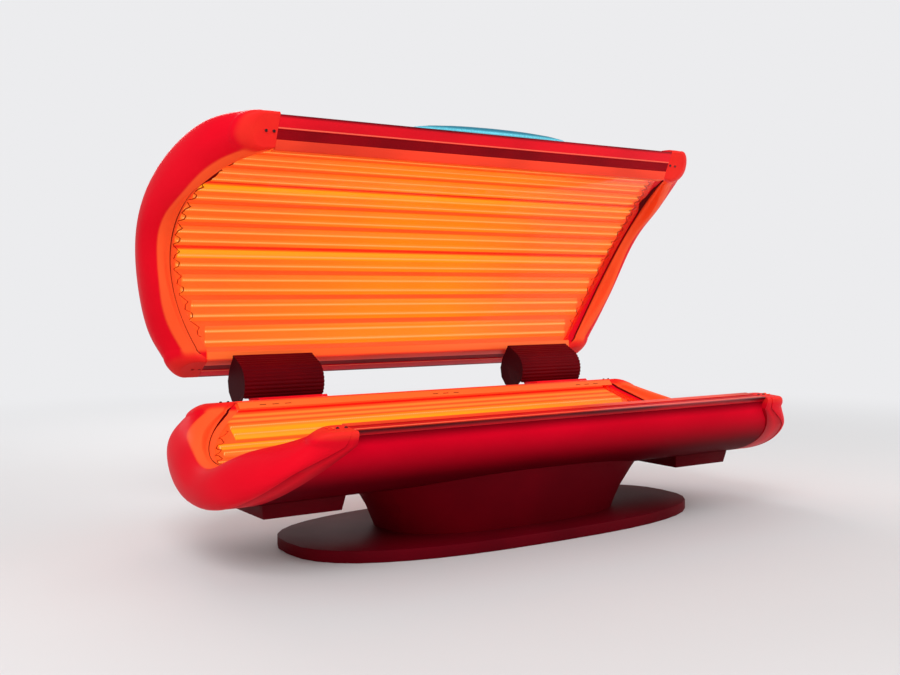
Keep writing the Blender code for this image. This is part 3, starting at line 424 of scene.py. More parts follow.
@dataclass(frozen=True)
class TrayFinish(Finish):
    """Sheet with an orange tint and glow painted from the boards' light, painted shade in a few gaps and
    painted reflections of diode rows in others.
    """

    colour: Colour
    glow: Colour
    dark: Colour
    centre: tuple[float, float]
    gaps: tuple[float, ...]
    mirrored: tuple[float, ...]
    row: Colour
    gap_core: float = 0.006
    gap_reach: float = 0.011
    row_core: float = 0.002
    row_reach: float = 0.018

    def dress(self, graph: Graph) -> bpy.types.Node:
        """Metal shader with painted glow, painted shade in dark lines and painted reflections of diode rows
        along chosen angles.

        Args:
            graph: Graph of the finish's material.

        Returns:
            The shader's node.
        """
        across, up = graph.axis("Y") - self.centre[0], graph.axis("Z") - self.centre[1]
        turn = across.step("ARCTAN2", up, across)
        brush = graph.noise(1.0, 3.0, (4.0, 500.0, 500.0))
        cloud = graph.noise(3.0, 3.0)
        light = graph.mix(cloud.ease(0.3, 0.7), self.glow, tuple(0.82 * part for part in self.glow))
        # Painted shade along the gaps between board groups.
        for gap in self.gaps:
            near = abs(turn - math.radians(gap)) + (cloud - 0.5) * 0.004
            light = graph.mix(near.ease(self.gap_core, self.gap_reach, 1.0, 0.0), light, self.dark)
        # Painted reflections of diode rows.
        for image in self.mirrored:
            near = abs(turn - math.radians(image))
            light = graph.mix(near.ease(self.row_core, self.row_reach, 0.9, 0.0), light, self.row)
        # The emission paints the boards' light on the sheet.
        return graph.node("ShaderNodeBsdfPrincipled", {}, {
            "Base Color": self.colour, "Metallic": 0.5,
            "Roughness": self.roughness + (brush - 0.5) * 0.2,
            "Emission Color": light, "Emission Strength": 0.9,
            "Normal": graph.relief(brush, 0.00004)})


@dataclass(frozen=True)
class AcrylicFinish(Finish):
    """Clear sheet that mirrors at a slant and holds a faint haze, painted in the warm colour of the boards'
    light.
    """

    colour: Colour
    veil: float

    def dress(self, graph: Graph) -> bpy.types.Node:
        """Clear gloss shader.

        Args:
            graph: Graph of the finish's material.

        Returns:
            The shader's node.
        """
        wear = graph.noise(5.0, 4.0)
        slant = Signal(graph, graph.node("ShaderNodeLayerWeight", {}, {"Blend": 0.5}).outputs["Facing"])
        gloss = 0.04 + slant.power(5.0) * 0.96
        clear = graph.node("ShaderNodeBsdfTransparent", {}, {"Color": (1.0, 0.97, 0.95)})
        sheet = graph.node("ShaderNodeBsdfPrincipled", {}, {
            "Base Color": graph.mix(wear, self.colour, tuple(0.8 * part for part in self.colour)),
            "Roughness": self.roughness + (wear - 0.5) * 0.04})
        share = gloss * (1 - self.veil) + self.veil * (0.8 + wear * 0.4)
        return graph.node("ShaderNodeMixShader", {}, {
            0: share, 1: clear.outputs[0], 2: sheet.outputs[0]})


@dataclass(frozen=True)
class BoardFinish(Finish):
    """Lit board with two rows of diodes, amber on one side where asked."""

    field_colour: Colour
    warm_colour: Colour
    row_colour: Colour
    diode_colour: Colour
    edge_colour: Colour
    row: float
    amber: Optional[Colour] = None
    amber_from: float = 0.0
    amber_side: int = 1
    pitch: float = 0.0085
    row_core: float = 0.0030
    row_reach: float = 0.0085
    dot_core: float = 0.0012
    dot_reach: float = 0.0026
    rim_start: float = 0.0390
    rim_end: float = 0.0425

    def dress(self, graph: Graph) -> bpy.types.Node:
        """Glowing shader with dotted rows.

        Args:
            graph: Graph of the finish's material.

        Returns:
            The shader's node.
        """
        place = graph.trait("across")
        across = abs(place)
        along = graph.axis("X")
        off_row = abs(across - self.row)
        dot = (along / self.pitch).fraction() - 0.5
        reach = (dot * dot * (self.pitch * self.pitch) + off_row * off_row).root()
        cloud = graph.noise(2.2, 2.0, (1.0, 0.4, 0.4))
        middle = abs(along).ease(0.15, 0.95, 1.0, 0.0)
        colour = graph.mix(middle * 0.85 + (cloud - 0.5) * 0.7, self.field_colour, self.warm_colour)
        if self.amber:
            wide = (place * self.amber_side).ease(self.amber_from - 0.006, self.amber_from + 0.002)
            long = along.ease(-0.10, 0.95, 1.0, 0.35)
            colour = graph.mix(wide * long, colour, self.amber)
        colour = graph.mix(off_row.ease(self.row_core, self.row_reach, 0.70, 0.0), colour, self.row_colour)
        colour = graph.mix(reach.ease(self.dot_core, self.dot_reach, 1.0, 0.0), colour, self.diode_colour)
        colour = graph.mix(across.ease(self.rim_start, self.rim_end, 0.0, 0.75), colour, self.edge_colour)
        skin = graph.noise(300.0)
        return graph.node("ShaderNodeBsdfPrincipled", {}, {
            "Base Color": graph.mix(cloud, (0.20, 0.020, 0.006), (0.14, 0.012, 0.004)),
            "Roughness": self.roughness + (skin - 0.5) * 0.2,
            "Emission Color": colour, "Emission Strength": 1.0,
            "Normal": graph.relief(skin, 0.00005)})


@dataclass(frozen=True)
class LensFinish(Finish):
    """Frosted accent lens with light inside."""

    colour: Colour
    heart: Colour
    half_length: float
    crest: float
    line_bottom: float = 0.024
    line_top: float = 0.010

    def dress(self, graph: Graph) -> bpy.types.Node:
        """Glowing frosted shader.

        Args:
            graph: Graph of the finish's material.

        Returns:
            The shader's node.
        """
        middle = abs(graph.axis("X")).ease(0.0, self.half_length, 1.0, 0.75)
        foot = graph.axis("Z").ease(self.crest - self.line_bottom, self.crest - self.line_top, 1.0, 0.10)
        frost = graph.noise(160.0, 3.0)
        glow = graph.mix(middle * foot * (0.7 + frost * 0.5), self.colour, self.heart)
        return graph.node("ShaderNodeBsdfPrincipled", {}, {
            "Base Color": graph.mix(foot * frost, self.colour, self.heart),
            "Roughness": self.roughness + (frost - 0.5) * 0.2, "Specular IOR Level": 0.1,
            "Emission Color": glow, "Emission Strength": 0.75,
            "Normal": graph.relief(frost, 0.0001)})


@dataclass(frozen=True)
class FloorFinish(Finish):
    """Pale studio floor that fades into the background far away."""

    colour: Colour
    far: Colour
    fade_start: float = 1.6
    fade_end: float = 6.0

    def dress(self, graph: Graph) -> bpy.types.Node:
        """Matte shader that fades to plain background.

        Args:
            graph: Graph of the finish's material.

        Returns:
            The shader's node.
        """
        along, across = graph.axis("X"), graph.axis("Y")
        away = (along * along + across * across).root().ease(self.fade_start, self.fade_end)
        cloud = graph.noise(1.2, 3.0)
        matte = graph.node("ShaderNodeBsdfPrincipled", {}, {
            "Base Color": graph.mix(cloud, self.colour, tuple(0.97 * part for part in self.colour)),
            "Roughness": self.roughness})
        plain = graph.node("ShaderNodeEmission", {}, {"Color": self.far, "Strength": 1.0})
        return graph.node("ShaderNodeMixShader", {}, {
            0: away, 1: matte.outputs[0], 2: plain.outputs[0]})


CRIMSON = tone(232, 10, 34)
CRIMSON_DEEP = tone(222, 8, 32)
# Painted light of the LED boards on the shells and tip rings.
LIT_CORAL = tone(255, 96, 48)
# Painted shade for the end caps' seam and underside, matched to the pan's painted shade.
SHADED_PAN_RED = tone(160, 2, 22)
# Painted shade on the rails' outer edges and outer legs.
SHADE_MAROON = tone(88, 2, 14)
LED_ROW = 0.020

# End caps: lit coral as painted light of the LED boards; on the bed also painted shade along the seam and
# underside.
BED_CAP = MouldedFinish("bed_cap", Slot.SHELL, 0.40, CRIMSON, CRIMSON_DEEP, lit=LIT_CORAL, under=SHADED_PAN_RED,
                        gloss=0.035)
CANOPY_CAP = MouldedFinish("canopy_cap", Slot.SHELL, 0.40, CRIMSON, CRIMSON_DEEP, lit=LIT_CORAL,
                           gloss=0.035)
# Painted highlight: the tip rings in lit coral.
RING_HIGHLIGHT = MouldedFinish("ring_highlight", Slot.SHELL, 0.40, LIT_CORAL, tone(255, 84, 44), gloss=0.06)
CANOPY_SHELL = MouldedFinish("canopy_shell", Slot.SHELL, 0.40, CRIMSON, CRIMSON_DEEP, gloss=0.045)
# Belly pans: painted shade that darkens them towards the bottom, and a painted shadow of the rail's
# overhang along the top.
PAN_SHELL = MouldedFinish("pan_shell", Slot.PAN, 0.50, tone(236, 2, 38), tone(220, 2, 34), gloss=0.012,
                          shade=tone(88, 0, 12), shade_top=0.415, shade_bottom=0.265, overhang_shadow_top=0.452)
BOX_SHELL = MouldedFinish("box_shell", Slot.PAN, 0.50, tone(104, 2, 16), tone(88, 2, 13), gloss=0.04)
PEDESTAL_SHELL = MouldedFinish("pedestal_shell", Slot.PAN, 0.50, tone(116, 2, 18), tone(96, 2, 15),
                               gloss=0.025)
BASE_SHELL = MouldedFinish("base_shell", Slot.BASE, 0.52, tone(96, 2, 16), tone(82, 2, 13), gloss=0.03)
DRUM_PLASTIC = MouldedFinish("drum_plastic", Slot.COVER, 0.55, tone(98, 0, 10), tone(72, 0, 8),
                             under=tone(54, 0, 8), gloss=0.04)
# Painted shade: dark fill put at the acrylic's ends, in the rail slots and under the hinge covers.
SHADE_FILL = MouldedFinish("shade_fill", Slot.COVER, 0.70, tone(96, 0, 10), tone(72, 0, 8), gloss=0.04)
WIRE_SLEEVE = MouldedFinish("wire_sleeve", Slot.COVER, 0.60, tone(140, 0, 12), tone(112, 0, 9), gloss=0.03)
STRIP_GLOSS = MouldedFinish("strip_gloss", Slot.STRIP, 0.42, tone(146, 0, 16), tone(116, 0, 12), grain=90.0,
                            gloss=0.06)
# Painted light: a brighter copy of the strip for the bed, where the boards' light falls on it.
LIT_BED_STRIP = MouldedFinish("lit_bed_strip", Slot.STRIP, 0.42, tone(214, 6, 28), tone(190, 4, 24), grain=90.0,
                          gloss=0.06)
FAN_PLASTIC = MouldedFinish("fan_plastic", Slot.FAN, 0.50, tone(46, 6, 10), tone(34, 5, 8), gloss=0.20)
BRACKET_PAINT = MouldedFinish("bracket_paint", Slot.BRACKET, 0.45, tone(236, 20, 36), tone(206, 12, 28),
                              gloss=0.05)
PIN_STEEL = MetalFinish("pin_steel", Slot.PIN, 0.34, tone(120, 84, 84), tone(92, 60, 62))
SPRING_PAINT = MetalFinish("spring_paint", Slot.SPRING, 0.38, tone(40, 8, 12), tone(30, 6, 9),
                           metallic=0.3, grain=(60.0, 60.0, 8.0))
ROD_CHROME = MetalFinish("rod_chrome", Slot.ROD, 0.14, tone(214, 196, 196), tone(186, 168, 170),
                         grain=(300.0, 300.0, 6.0))
FRAME_STEEL = MetalFinish("frame_steel", Slot.FRAME, 0.42, tone(128, 104, 104), tone(98, 78, 80))
DRIVER_CASE = MetalFinish("driver_case", Slot.DRIVER, 0.40, tone(150, 132, 130), tone(120, 104, 104))
SCREW_STEEL = MetalFinish("screw_steel", Slot.PIN, 0.40, tone(70, 4, 10), tone(48, 3, 8),
                          metallic=0.6, grain=(300.0, 300.0, 300.0))
# Acrylic: its warm veil colour is painted light of the boards.
CLEAR_SHEET = AcrylicFinish("clear_sheet", Slot.ACRYLIC, 0.05, tone(255, 110, 40), veil=0.04)
CYAN_LENS = LensFinish("cyan_lens", Slot.LENS, 0.40, tone(10, 76, 96), tone(110, 206, 224),
                       half_length=0.36, crest=1.474)
BOARD_COLOURS = (tone(250, 106, 32), tone(250, 146, 12), tone(255, 164, 66), tone(255, 226, 160),
                 tone(236, 70, 18))
RED_BOARD = BoardFinish("red_board", Slot.BOARD, 0.5, *BOARD_COLOURS, LED_ROW)
AMBER_ROW_BOARD = BoardFinish("amber_row_board", Slot.BOARD, 0.5, *BOARD_COLOURS, LED_ROW,
                              amber=tone(255, 170, 4), amber_from=0.010)
AMBER_LOW_BOARD = BoardFinish("amber_low_board", Slot.BOARD, 0.5, *BOARD_COLOURS, LED_ROW,
                              amber=tone(255, 176, 6), amber_from=-0.012, amber_side=-1)


@dataclass(frozen=True)
class Trough:
    """A light trough of round section with leaning edges and ends that bow outwards.

    A place on it has t, from -1 to 1 across the section, and an offset, the distance
    behind the user face of the acrylic.
    """

    name: str
    centre: tuple[float, float]
    mid: float
    radius: float
    half_width: float
    rail_inner: float
    rail_outer: float
    skin: float
    lean: float
    bow: float
    bow_power: float
    cap_width: float
    cap_swell: float
    low_shoulder: float
    high_shoulder: float
    cap_step: float
    lip: float
    lip_wave: float
    front: int
    boards: int
    board_pitch: float
    tip: float = 0.885
    square_from: float = 0.9
    tip_round: float = 0.030
    tip_share: float = 0.058
    skin_power: int = 6
    shoulder_norm: float = 27 / 4

    @property
    def lean_rate(self) -> float:
        """Degrees by which the edge moves outwards for each metre of offset."""
        return math.degrees(math.tan(math.radians(self.lean)) / self.radius)

    @property
    def half(self) -> float:
        """Half angle of the section at the acrylic's user face."""
        corner = math.degrees(math.asin(self.half_width / (self.radius + self.rail_inner)))
        return corner - self.lean_rate * self.rail_inner

    def out(self, degrees: float) -> Vector:
        """Unit YZ direction at a polar angle."""
        return Vector((math.cos(math.radians(degrees)), math.sin(math.radians(degrees))))

    def angle(self, t: float, offset: float) -> float:
        """Polar angle of a place."""
        return self.mid + t * (self.half + self.lean_rate * offset)

    def yz(self, t: float, offset: float) -> Vector:
        """YZ point of a place."""
        return Vector(self.centre) + self.out(self.angle(t, offset)) * (self.radius + offset)

    def end_x(self, t: float) -> float:
        """Half length at t, bowed out in the middle and square at the rails."""
        return self.tip + self.bow * (1 - min(abs(t) / self.square_from, 1.0) ** self.bow_power)

    def edge(self, side: int) -> tuple[Vector, Vector, Vector]:
        """Frame of the edge face at t = side.

        Args:
            side: Which edge, -1 or 1.

        Returns:
            Inner corner, direction to the outer corner, and direction into the trough's wall.
        """
        inner = self.yz(side, self.rail_inner)
        outer = self.yz(side, self.rail_outer)
        middle = math.radians(self.angle(side, (self.rail_inner + self.rail_outer) / 2))
        return inner, (outer - inner).normalized(), Vector((math.sin(middle), -math.cos(middle))) * side

    def edge_width(self) -> float:
        """Width of the edge face."""
        return (self.yz(1, self.rail_outer) - self.yz(1, self.rail_inner)).length

    def cap_skin(self, t: float) -> float:
        """Offset of the end cap's outer face, a step above the skin at its tips."""
        tip = self.rail_outer + self.cap_step
        return tip + (self.skin - tip) * (1 - t ** self.skin_power)

    def lip_height(self, t: float) -> float:
        """Height of the end cap's lip above the acrylic."""
        return self.lip + self.lip_wave * math.sin(math.pi * t) ** 2

    def cap_reach(self, t: float) -> float:
        """Width of the end cap beyond the acrylic, round at its tips.

        Args:
            t: Place across the trough.

        Returns:
            The width, in metres.
        """
        full = self.low_shoulder if t < 0 else self.high_shoulder
        shoulder = full * self.shoulder_norm * t ** 4 * (1 - t * t)
        turn = max(0.0, 1 - (1 - abs(t)) / self.tip_share)
        tip = self.tip_round * (1 - math.sqrt(1 - turn * turn))
        return self.cap_width + self.cap_swell * (1 - t * t) + shoulder - tip


BED = Trough(
    "bed", centre=(-0.030, 0.885), mid=-90.0, radius=0.585, half_width=0.391, rail_inner=-0.022,
    rail_outer=0.058, skin=0.105, lean=36.0, bow=0.192, bow_power=2.6, cap_width=0.112, cap_swell=0.024,
    low_shoulder=0.014, high_shoulder=0.058, cap_step=0.008, lip=0.022, lip_wave=0.030, front=-1,
    boards=8, board_pitch=0.104)
CANOPY = Trough(
    "canopy", centre=(-0.05641, 0.64901), mid=39.7, radius=0.700, half_width=0.472, rail_inner=-0.00818,
    rail_outer=0.098, skin=0.124, lean=27.0, bow=0.172, bow_power=2.0, cap_width=0.112, cap_swell=0.004,
    low_shoulder=0.034, high_shoulder=0.034, cap_step=0.008, lip=0.010, lip_wave=0.028, front=1,
    boards=10, board_pitch=0.101)


def node_mesh(node: str) -> bmesh.types.BMesh:
    """Merged copy of a solid's mesh.

    Args:
        node: Name of the solid.

    Returns:
        A bmesh with joined triangles and flat faces made whole.
    """
    bm = bmesh.new()
    bm.from_mesh(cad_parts[node].data)
    bmesh.ops.remove_doubles(bm, verts=bm.verts, dist=1e-5)
    bmesh.ops.dissolve_limit(bm, angle_limit=math.radians(0.3), verts=bm.verts, edges=bm.edges,
                             use_dissolve_boundaries=False)
    return bm


def soften(bm: bmesh.types.BMesh, width: float, segments: int = 2, limit: float = 35.0) -> None:
    """Round the sharp edges of a mesh.

    Args:
        bm: The mesh to change.
        width: Width of the rounding, in metres.
        segments: Facets across the rounding.
        limit: Least angle of an edge that is rounded, in degrees.
    """
    sharp = [edge for edge in bm.edges
             if edge.is_manifold and edge.calc_face_angle(0.0) > math.radians(limit)]
    bmesh.ops.bevel(bm, geom=sharp, offset=width, offset_type="OFFSET", segments=segments, profile=0.5,
                    affect="EDGES", material=-1, clamp_overlap=True)


def wrapped(spans: int, around: int, place: Callable[[float, int], Vector]) -> bmesh.types.BMesh:
    """Closed skin round a path, filled at both ends.

    Args:
        spans: Faces along the path.
        around: Faces round the section.
        place: Point for a share of the path and a section point's number; the last number
            gives the first point again.

    Returns:
        The skin, closed and facing out.
    """
    bm = bmesh.new()
    bmesh.ops.create_grid(bm, x_segments=spans, y_segments=around, size=0.5)
    for vert in bm.verts:
        vert.co = place(vert.co.x + 0.5, round((vert.co.y + 0.5) * around))
    bmesh.ops.remove_doubles(bm, verts=bm.verts, dist=1e-7)
    bmesh.ops.holes_fill(bm, edges=[edge for edge in bm.edges if edge.is_boundary])
    bmesh.ops.recalc_face_normals(bm, faces=bm.faces)
    return bm


@dataclass
class Assembly:
    """A group of pieces that ride on one body."""

    body: str

    def place(self, name: str, bm: bmesh.types.BMesh, finish: Finish, nodes: Sequence[str] = (),
              crease: float = 32.0, body: Optional[str] = None) -> bpy.types.Object:
        """Turn a bmesh into a dressed piece that rides on a body.

        Args:
            name: Name of the piece.
            bm: Its mesh, freed here.
            finish: Its finish.
            nodes: Solids that it stands for.
            crease: Angle past which an edge stays sharp, in degrees.
            body: Body it rides on, if not the assembly's own.

        Returns:
            The new object.
        """
        mesh = bpy.data.meshes.new(name)
        bm.to_mesh(mesh)
        bm.free()
        mesh.shade_smooth()
        mesh.set_sharp_from_angle(angle=math.radians(crease))
        mesh.materials.append(finish.material())
        piece = bpy.data.objects.new(name, mesh)
        bpy.context.scene.collection.objects.link(piece)
        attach(piece, body or self.body)
        if nodes:
            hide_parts(*nodes)
        log.info("%s: %d faces, %s", name, len(mesh.polygons), finish.name)
        return piece

    def refine(self, node: str, finish: Finish, rounding: float = 0.0, crease: float = 32.0,
               body: Optional[str] = None) -> bpy.types.Object:
        """Smooth copy of a solid in its place.

        Args:
            node: Name of the solid.
            finish: Finish of the copy.
            rounding: Width of its rounded edges, or none.
            crease: Angle past which an edge stays sharp, in degrees.
            body: Body it rides on, if not the assembly's own.

        Returns:
            The new object.
        """
        bm = node_mesh(node)
        if rounding:
            soften(bm, rounding)
        return self.place(f"{node}_dressed", bm, finish, [node], crease, body)

    def paint(self, node: str, finish: Finish) -> None:
        """Give a solid that stays a finish of its own.

        Args:
            node: Name of the solid.
            finish: Its finish.
        """
        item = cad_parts[node]
        item.data.materials.clear()
        item.data.materials.append(finish.material())
        log.info("%s: solid kept, %s", node, finish.name)


@dataclass
class TroughShell(Assembly):
    """End caps, rails, strips, acrylic, tray and boards of a trough."""

    trough: Trough
    cap_finish: Finish
    amber_boards: dict[int, Finish]
    dark_gaps: Sequence[float]
    shadow_crescents: Sequence[tuple[float, float]]
    lit_edge: float
    rim_drop: float
    ledge: tuple[float, float]
    shine_half: float
    mirror_rows: Sequence[float]
    strip_finish: Finish
    # Shape of an end cap
    cap_foot: float = 0.044
    foot_rows: tuple[float, float, float] = (0.0015, 0.0010, 0.0005)
    hair: float = 1e-5
    equator: float = 0.045
    lip_round: float = 0.012
    least_round: float = 0.001
    inner_edge: float = 0.35
    crown_share: float = 0.40
    crown_room: float = 0.004
    waist_share: float = 0.70
    rim_zone: tuple[float, float] = (0.70, 0.95)
    seam_depth: float = 0.0024
    seam_edge: float = 0.0012
    seam_run: float = 0.0040
    ledge_zone: tuple[float, float] = (0.90, 0.99)
    kink_at: float = 0.915
    kink_span: float = 0.045
    kink_fill: float = 0.008
    tip_span: float = 0.030
    tip_pillow: float = 0.010
    cap_edge: float = 0.0022
    cap_crease: float = 40.0
    spans: int = 112
    # Painted light of the LED boards on an end cap
    tip_glow: float = 0.38
    tip_zone: tuple[float, float] = (0.87, 0.975)
    lit_widen: float = 0.14
    widen_zone: tuple[float, float] = (0.2, 0.7)
    lit_blur: float = 0.10
    ledge_points: int = 3
    ledge_glow: float = 0.9
    # Rails and boards
    groove_start: float = 0.036
    groove_width: float = 0.036
    rail_round: float = 0.0012
    shine_gap: float = 0.002
    board_back: float = 0.030
    # Cap screws
    screw_radius: float = 0.0056
    screw_height: float = 0.0016
    screw_taper: float = 0.86
    screw_place: float = 0.52
    screw_reach: tuple[float, float] = (0.013, 0.041)
    socket_rim: float = 0.0020
    socket_depth: float = 0.0010
    # Painted shadow beads at the acrylic's ends, and wires
    shadow_end: float = 0.94
    shadow_rise: float = 0.0022
    shadow_sink: float = 0.0010
    shadow_gap: float = 0.0004
    shadow_spread: float = 0.10
    shadow_widths: dict[Side, float] = field(default_factory=lambda: {Side.LEFT: 0.0010, Side.RIGHT: 0.0028})
    wire_radius: float = 0.0022
    wire_offset: float = 0.015
    wire_margin: float = 0.018
    wire_loop: float = 0.011
    wire_ripple: float = 0.003

    def rim_share(self, t: float) -> float:
        """Where the rolled side ends under the cap, as a share of its width."""
        return self.waist_share - self.rim_drop * ease(*self.rim_zone, abs(t))

    def tip_pull(self, t: float) -> float:
        """How far the crown and the skin draw in to round off the tips."""
        share = max(0.0, 1 - (1 - abs(t)) / self.tip_span)
        return self.tip_pillow * (1 - math.sqrt(1 - share * share))

    def ledge_width(self, t: float) -> float:
        """Width of the flat ledge between the acrylic and the lip, none at the tips."""
        middle, corner = self.ledge
        return (middle + (corner - middle) * t * t) * (1 - ease(*self.ledge_zone, abs(t)))

    def edge_share(self, t: float) -> float:
        """Height of the lip's inner edge, as a share of the crown's."""
        return self.inner_edge

    def lit_share(self, t: float) -> float:
        """How much of the lamps' light falls on a cap at t."""
        return 1.0

    def glow(self, t: float, reach: float) -> float:
        """Share of lit colour on a cap, which paints the LED boards' light.

        Args:
            t: Place across the trough.
            reach: Distance beyond the acrylic's end, as a share of the cap's width.

        Returns:
            The share, from 0 to 1.
        """
        edge = self.lit_edge + self.lit_widen * ease(*self.widen_zone, abs(t))
        over = ease(edge + self.lit_blur, edge - self.lit_blur, reach) * self.lit_share(t)
        return over + (self.tip_glow - over) * self.tip_blend(t)

    def tip_blend(self, t: float) -> float:
        """How far a place lies within a tip."""
        return ease(*self.tip_zone, abs(t))

    def section(self, t: float) -> list[tuple[float, float, float, float]]:
        """Section of an end cap.

        Args:
            t: Place across the trough.

        Returns:
            Reach beyond the acrylic's end, offset, share of lit colour (painted light) and share
            of pan colour (painted shade) of each point round the section.
        """
        trough = self.trough
        pull = self.tip_pull(t)
        lip, width, skin = trough.lip_height(t) - pull, trough.cap_reach(t), trough.cap_skin(t) - pull
        width += self.kink_fill * math.exp(-((abs(t) - self.kink_at) / self.kink_span) ** 2)
        ledge, edge = self.ledge_width(t), lip * self.edge_share(t)
        turning = min(self.lip_round, 0.8 * max(edge, 0.0) + self.least_round)
        start = ledge + turning
        crown = max(self.crown_share * width, start + self.crown_room)
        rim = self.rim_share(t) * width
        dull = self.tip_glow * self.tip_blend(t)
        foot, ridge, brink = self.foot_rows
        points = [(0.0, self.cap_foot, dull, 0.0), (0.0, foot, dull, 0.0),
                  (ledge + self.hair, ridge, dull, 0.0),
                  (ledge + 2 * self.hair, brink, self.glow(t, 0.0), 0.0)]
        for k in range(7):
            turn = math.radians(15 * k)
            points.append((ledge + 2 * self.hair + turning * (1 - math.cos(turn)),
                           turning * (1 - math.sin(turn)) - edge, self.glow(t, 0.0), 0.0))
        for share in (0.25, 0.50, 0.75):
            reach = start + (crown - start) * share
            points.append((reach, -edge - (lip - edge) * ease(0.0, 1.0, share),
                           self.glow(t, reach / width), 0.0))
        for k in range(13):
            turn = math.radians(90 - 7.5 * k)
            reach = crown + (width - crown) * math.cos(turn)
            points.append((reach, self.equator - (self.equator + lip) * math.sin(turn),
                           self.glow(t, reach / width), 0.0))
        for k in range(1, 10):
            turn = math.radians(10 * k)
            points.append((rim + (width - rim) * math.cos(turn),
                           self.equator + (skin - self.equator) * math.sin(turn), dull, 0.0))
        # Painted shade along the seam and the underside, strongest at the seam, none at the tips.
        for reach, drop, dim in ((rim - self.seam_edge, 1.0, 1.0), (rim - self.seam_run, 0.4, 0.6),
                                 (0.5 * rim, 0.0, 0.05), (0.0, 0.0, 0.8)):
            points.append((reach, skin - drop * self.seam_depth, dull, dim * (1 - self.tip_blend(t))))
        points.append(points[0])
        return points

    def end_cap(self, side: Side) -> None:
        """Moulded end with lip, crown, rolled side, seam and rounded tips.

        Args:
            side: End of the trough.
        """
        trough = self.trough
        count = len(self.section(0.0)) - 1
        bm = bmesh.new()
        bmesh.ops.create_grid(bm, x_segments=self.spans, y_segments=count, size=0.5)
        # Per-point shares of painted light (lit) and painted shade (under).
        lit = bm.verts.layers.float.new("lit")
        under = bm.verts.layers.float.new("under")
        sections = {}
        for vert in bm.verts:
            step = round((vert.co.x + 0.5) * self.spans)
            t = math.sin((step / self.spans - 0.5) * math.pi)
            if step not in sections:
                sections[step] = self.section(t)
            number = round((vert.co.y + 0.5) * count) % count
            reach, offset, glow, below = sections[step][number]
            # Painted light along the left caps' ledge.
            if side is Side.LEFT and number < self.ledge_points:
                glow = max(glow, self.ledge_glow * (1 - self.tip_blend(t)))
            spot = trough.yz(t, offset)
            vert.co = (side.value * (trough.end_x(t) + reach), spot.x, spot.y)
            vert[lit] = glow
            vert[under] = below
        bmesh.ops.remove_doubles(bm, verts=bm.verts, dist=1e-6)
        rims = [edge for edge in bm.edges if edge.is_boundary]
        bmesh.ops.holes_fill(bm, edges=rims)
        bmesh.ops.recalc_face_normals(bm, faces=bm.faces)
        bmesh.ops.bevel(bm, geom=rims, offset=self.cap_edge, offset_type="OFFSET", segments=3, profile=0.5,
                        affect="EDGES", material=-1, clamp_overlap=True)
        label = side.name.lower()
        self.place(f"{trough.name}_cap_{label}", bm, self.cap_finish, [f"{trough.name}_end_cap_{label}"],
                   self.cap_crease)

    def cap_screws(self, side: Side) -> None:
        """Two socket screws in each tip of an end cap.

        Args:
            side: End of the trough.
        """
        trough = self.trough
        bm = bmesh.new()
        for edge in (-1, 1):
            inner, across, inward = trough.edge(edge)
            middle = inner + across * (self.screw_place * trough.edge_width())
            for reach in self.screw_reach:
                spot = Vector((side.value * (trough.tip + reach), middle.x, middle.y))
                axis = Vector((0.0, -inward.x, -inward.y))
                turn = axis.to_track_quat("Z", "Y").to_matrix().to_4x4()
                made = bmesh.ops.create_cone(
                    bm, cap_ends=True, segments=18, radius1=self.screw_radius,
                    radius2=self.screw_taper * self.screw_radius, depth=self.screw_height,
                    matrix=Matrix.Translation(spot) @ turn)
                heads = {face for vert in made["verts"] for face in vert.link_faces}
                top = max((face for face in heads if len(face.verts) > 4),
                          key=lambda face: face.calc_center_median().dot(axis))
                bmesh.ops.inset_region(bm, faces=[top], thickness=self.socket_rim, depth=0.0)
                bmesh.ops.translate(bm, verts=top.verts, vec=axis * -self.socket_depth)
        self.place(f"{trough.name}_cap_screws_{side.name.lower()}", bm, SCREW_STEEL)

    def end_shadow_bead(self, side: Side) -> None:
        """Dark bead at an end of the acrylic against the cap, broad in places, as painted shadow of the gap
        between them.

        Args:
            side: End of the trough.
        """
        trough, sides = self.trough, 8

        def bead(share: float, k: int) -> Vector:
            """Point of the bead's skin.

            Args:
                share: How far along the bead.
                k: Number of the point round it.

            Returns:
                The point.
            """
            t = self.shadow_end * (2 * share - 1)
            turn = 2 * math.pi * (k % sides) / sides
            swell = sum(size * math.exp(-((t - corner) / self.shadow_spread) ** 2)
                        for corner, size in self.shadow_crescents)
            width = self.shadow_widths[side] + swell
            spot = trough.yz(t, -self.shadow_sink + self.shadow_rise * math.sin(turn))
            foot = trough.end_x(t) + self.ledge_width(t)
            reach = foot - width - self.shadow_gap + width * math.cos(turn)
            return Vector((side.value * reach, spot.x, spot.y))

        self.place(f"{trough.name}_gasket_{side.name.lower()}", wrapped(120, sides, bead), SHADE_FILL)

    def board_turn(self, number: float) -> float:
        """Polar angle of a board's middle.

        Args:
            number: Number of the board, or a number between two boards.

        Returns:
            The angle, in degrees.
        """
        back = self.trough.radius + self.board_back
        middle = (self.trough.boards + 1) / 2
        return self.trough.mid + math.degrees((number - middle) * self.trough.board_pitch / back)

    def harness(self, side: Side) -> None:
        """Wire that loops from board to board past their ends.

        Args:
            side: End of the trough.
        """
        trough, sides, radius = self.trough, 6, self.wire_radius

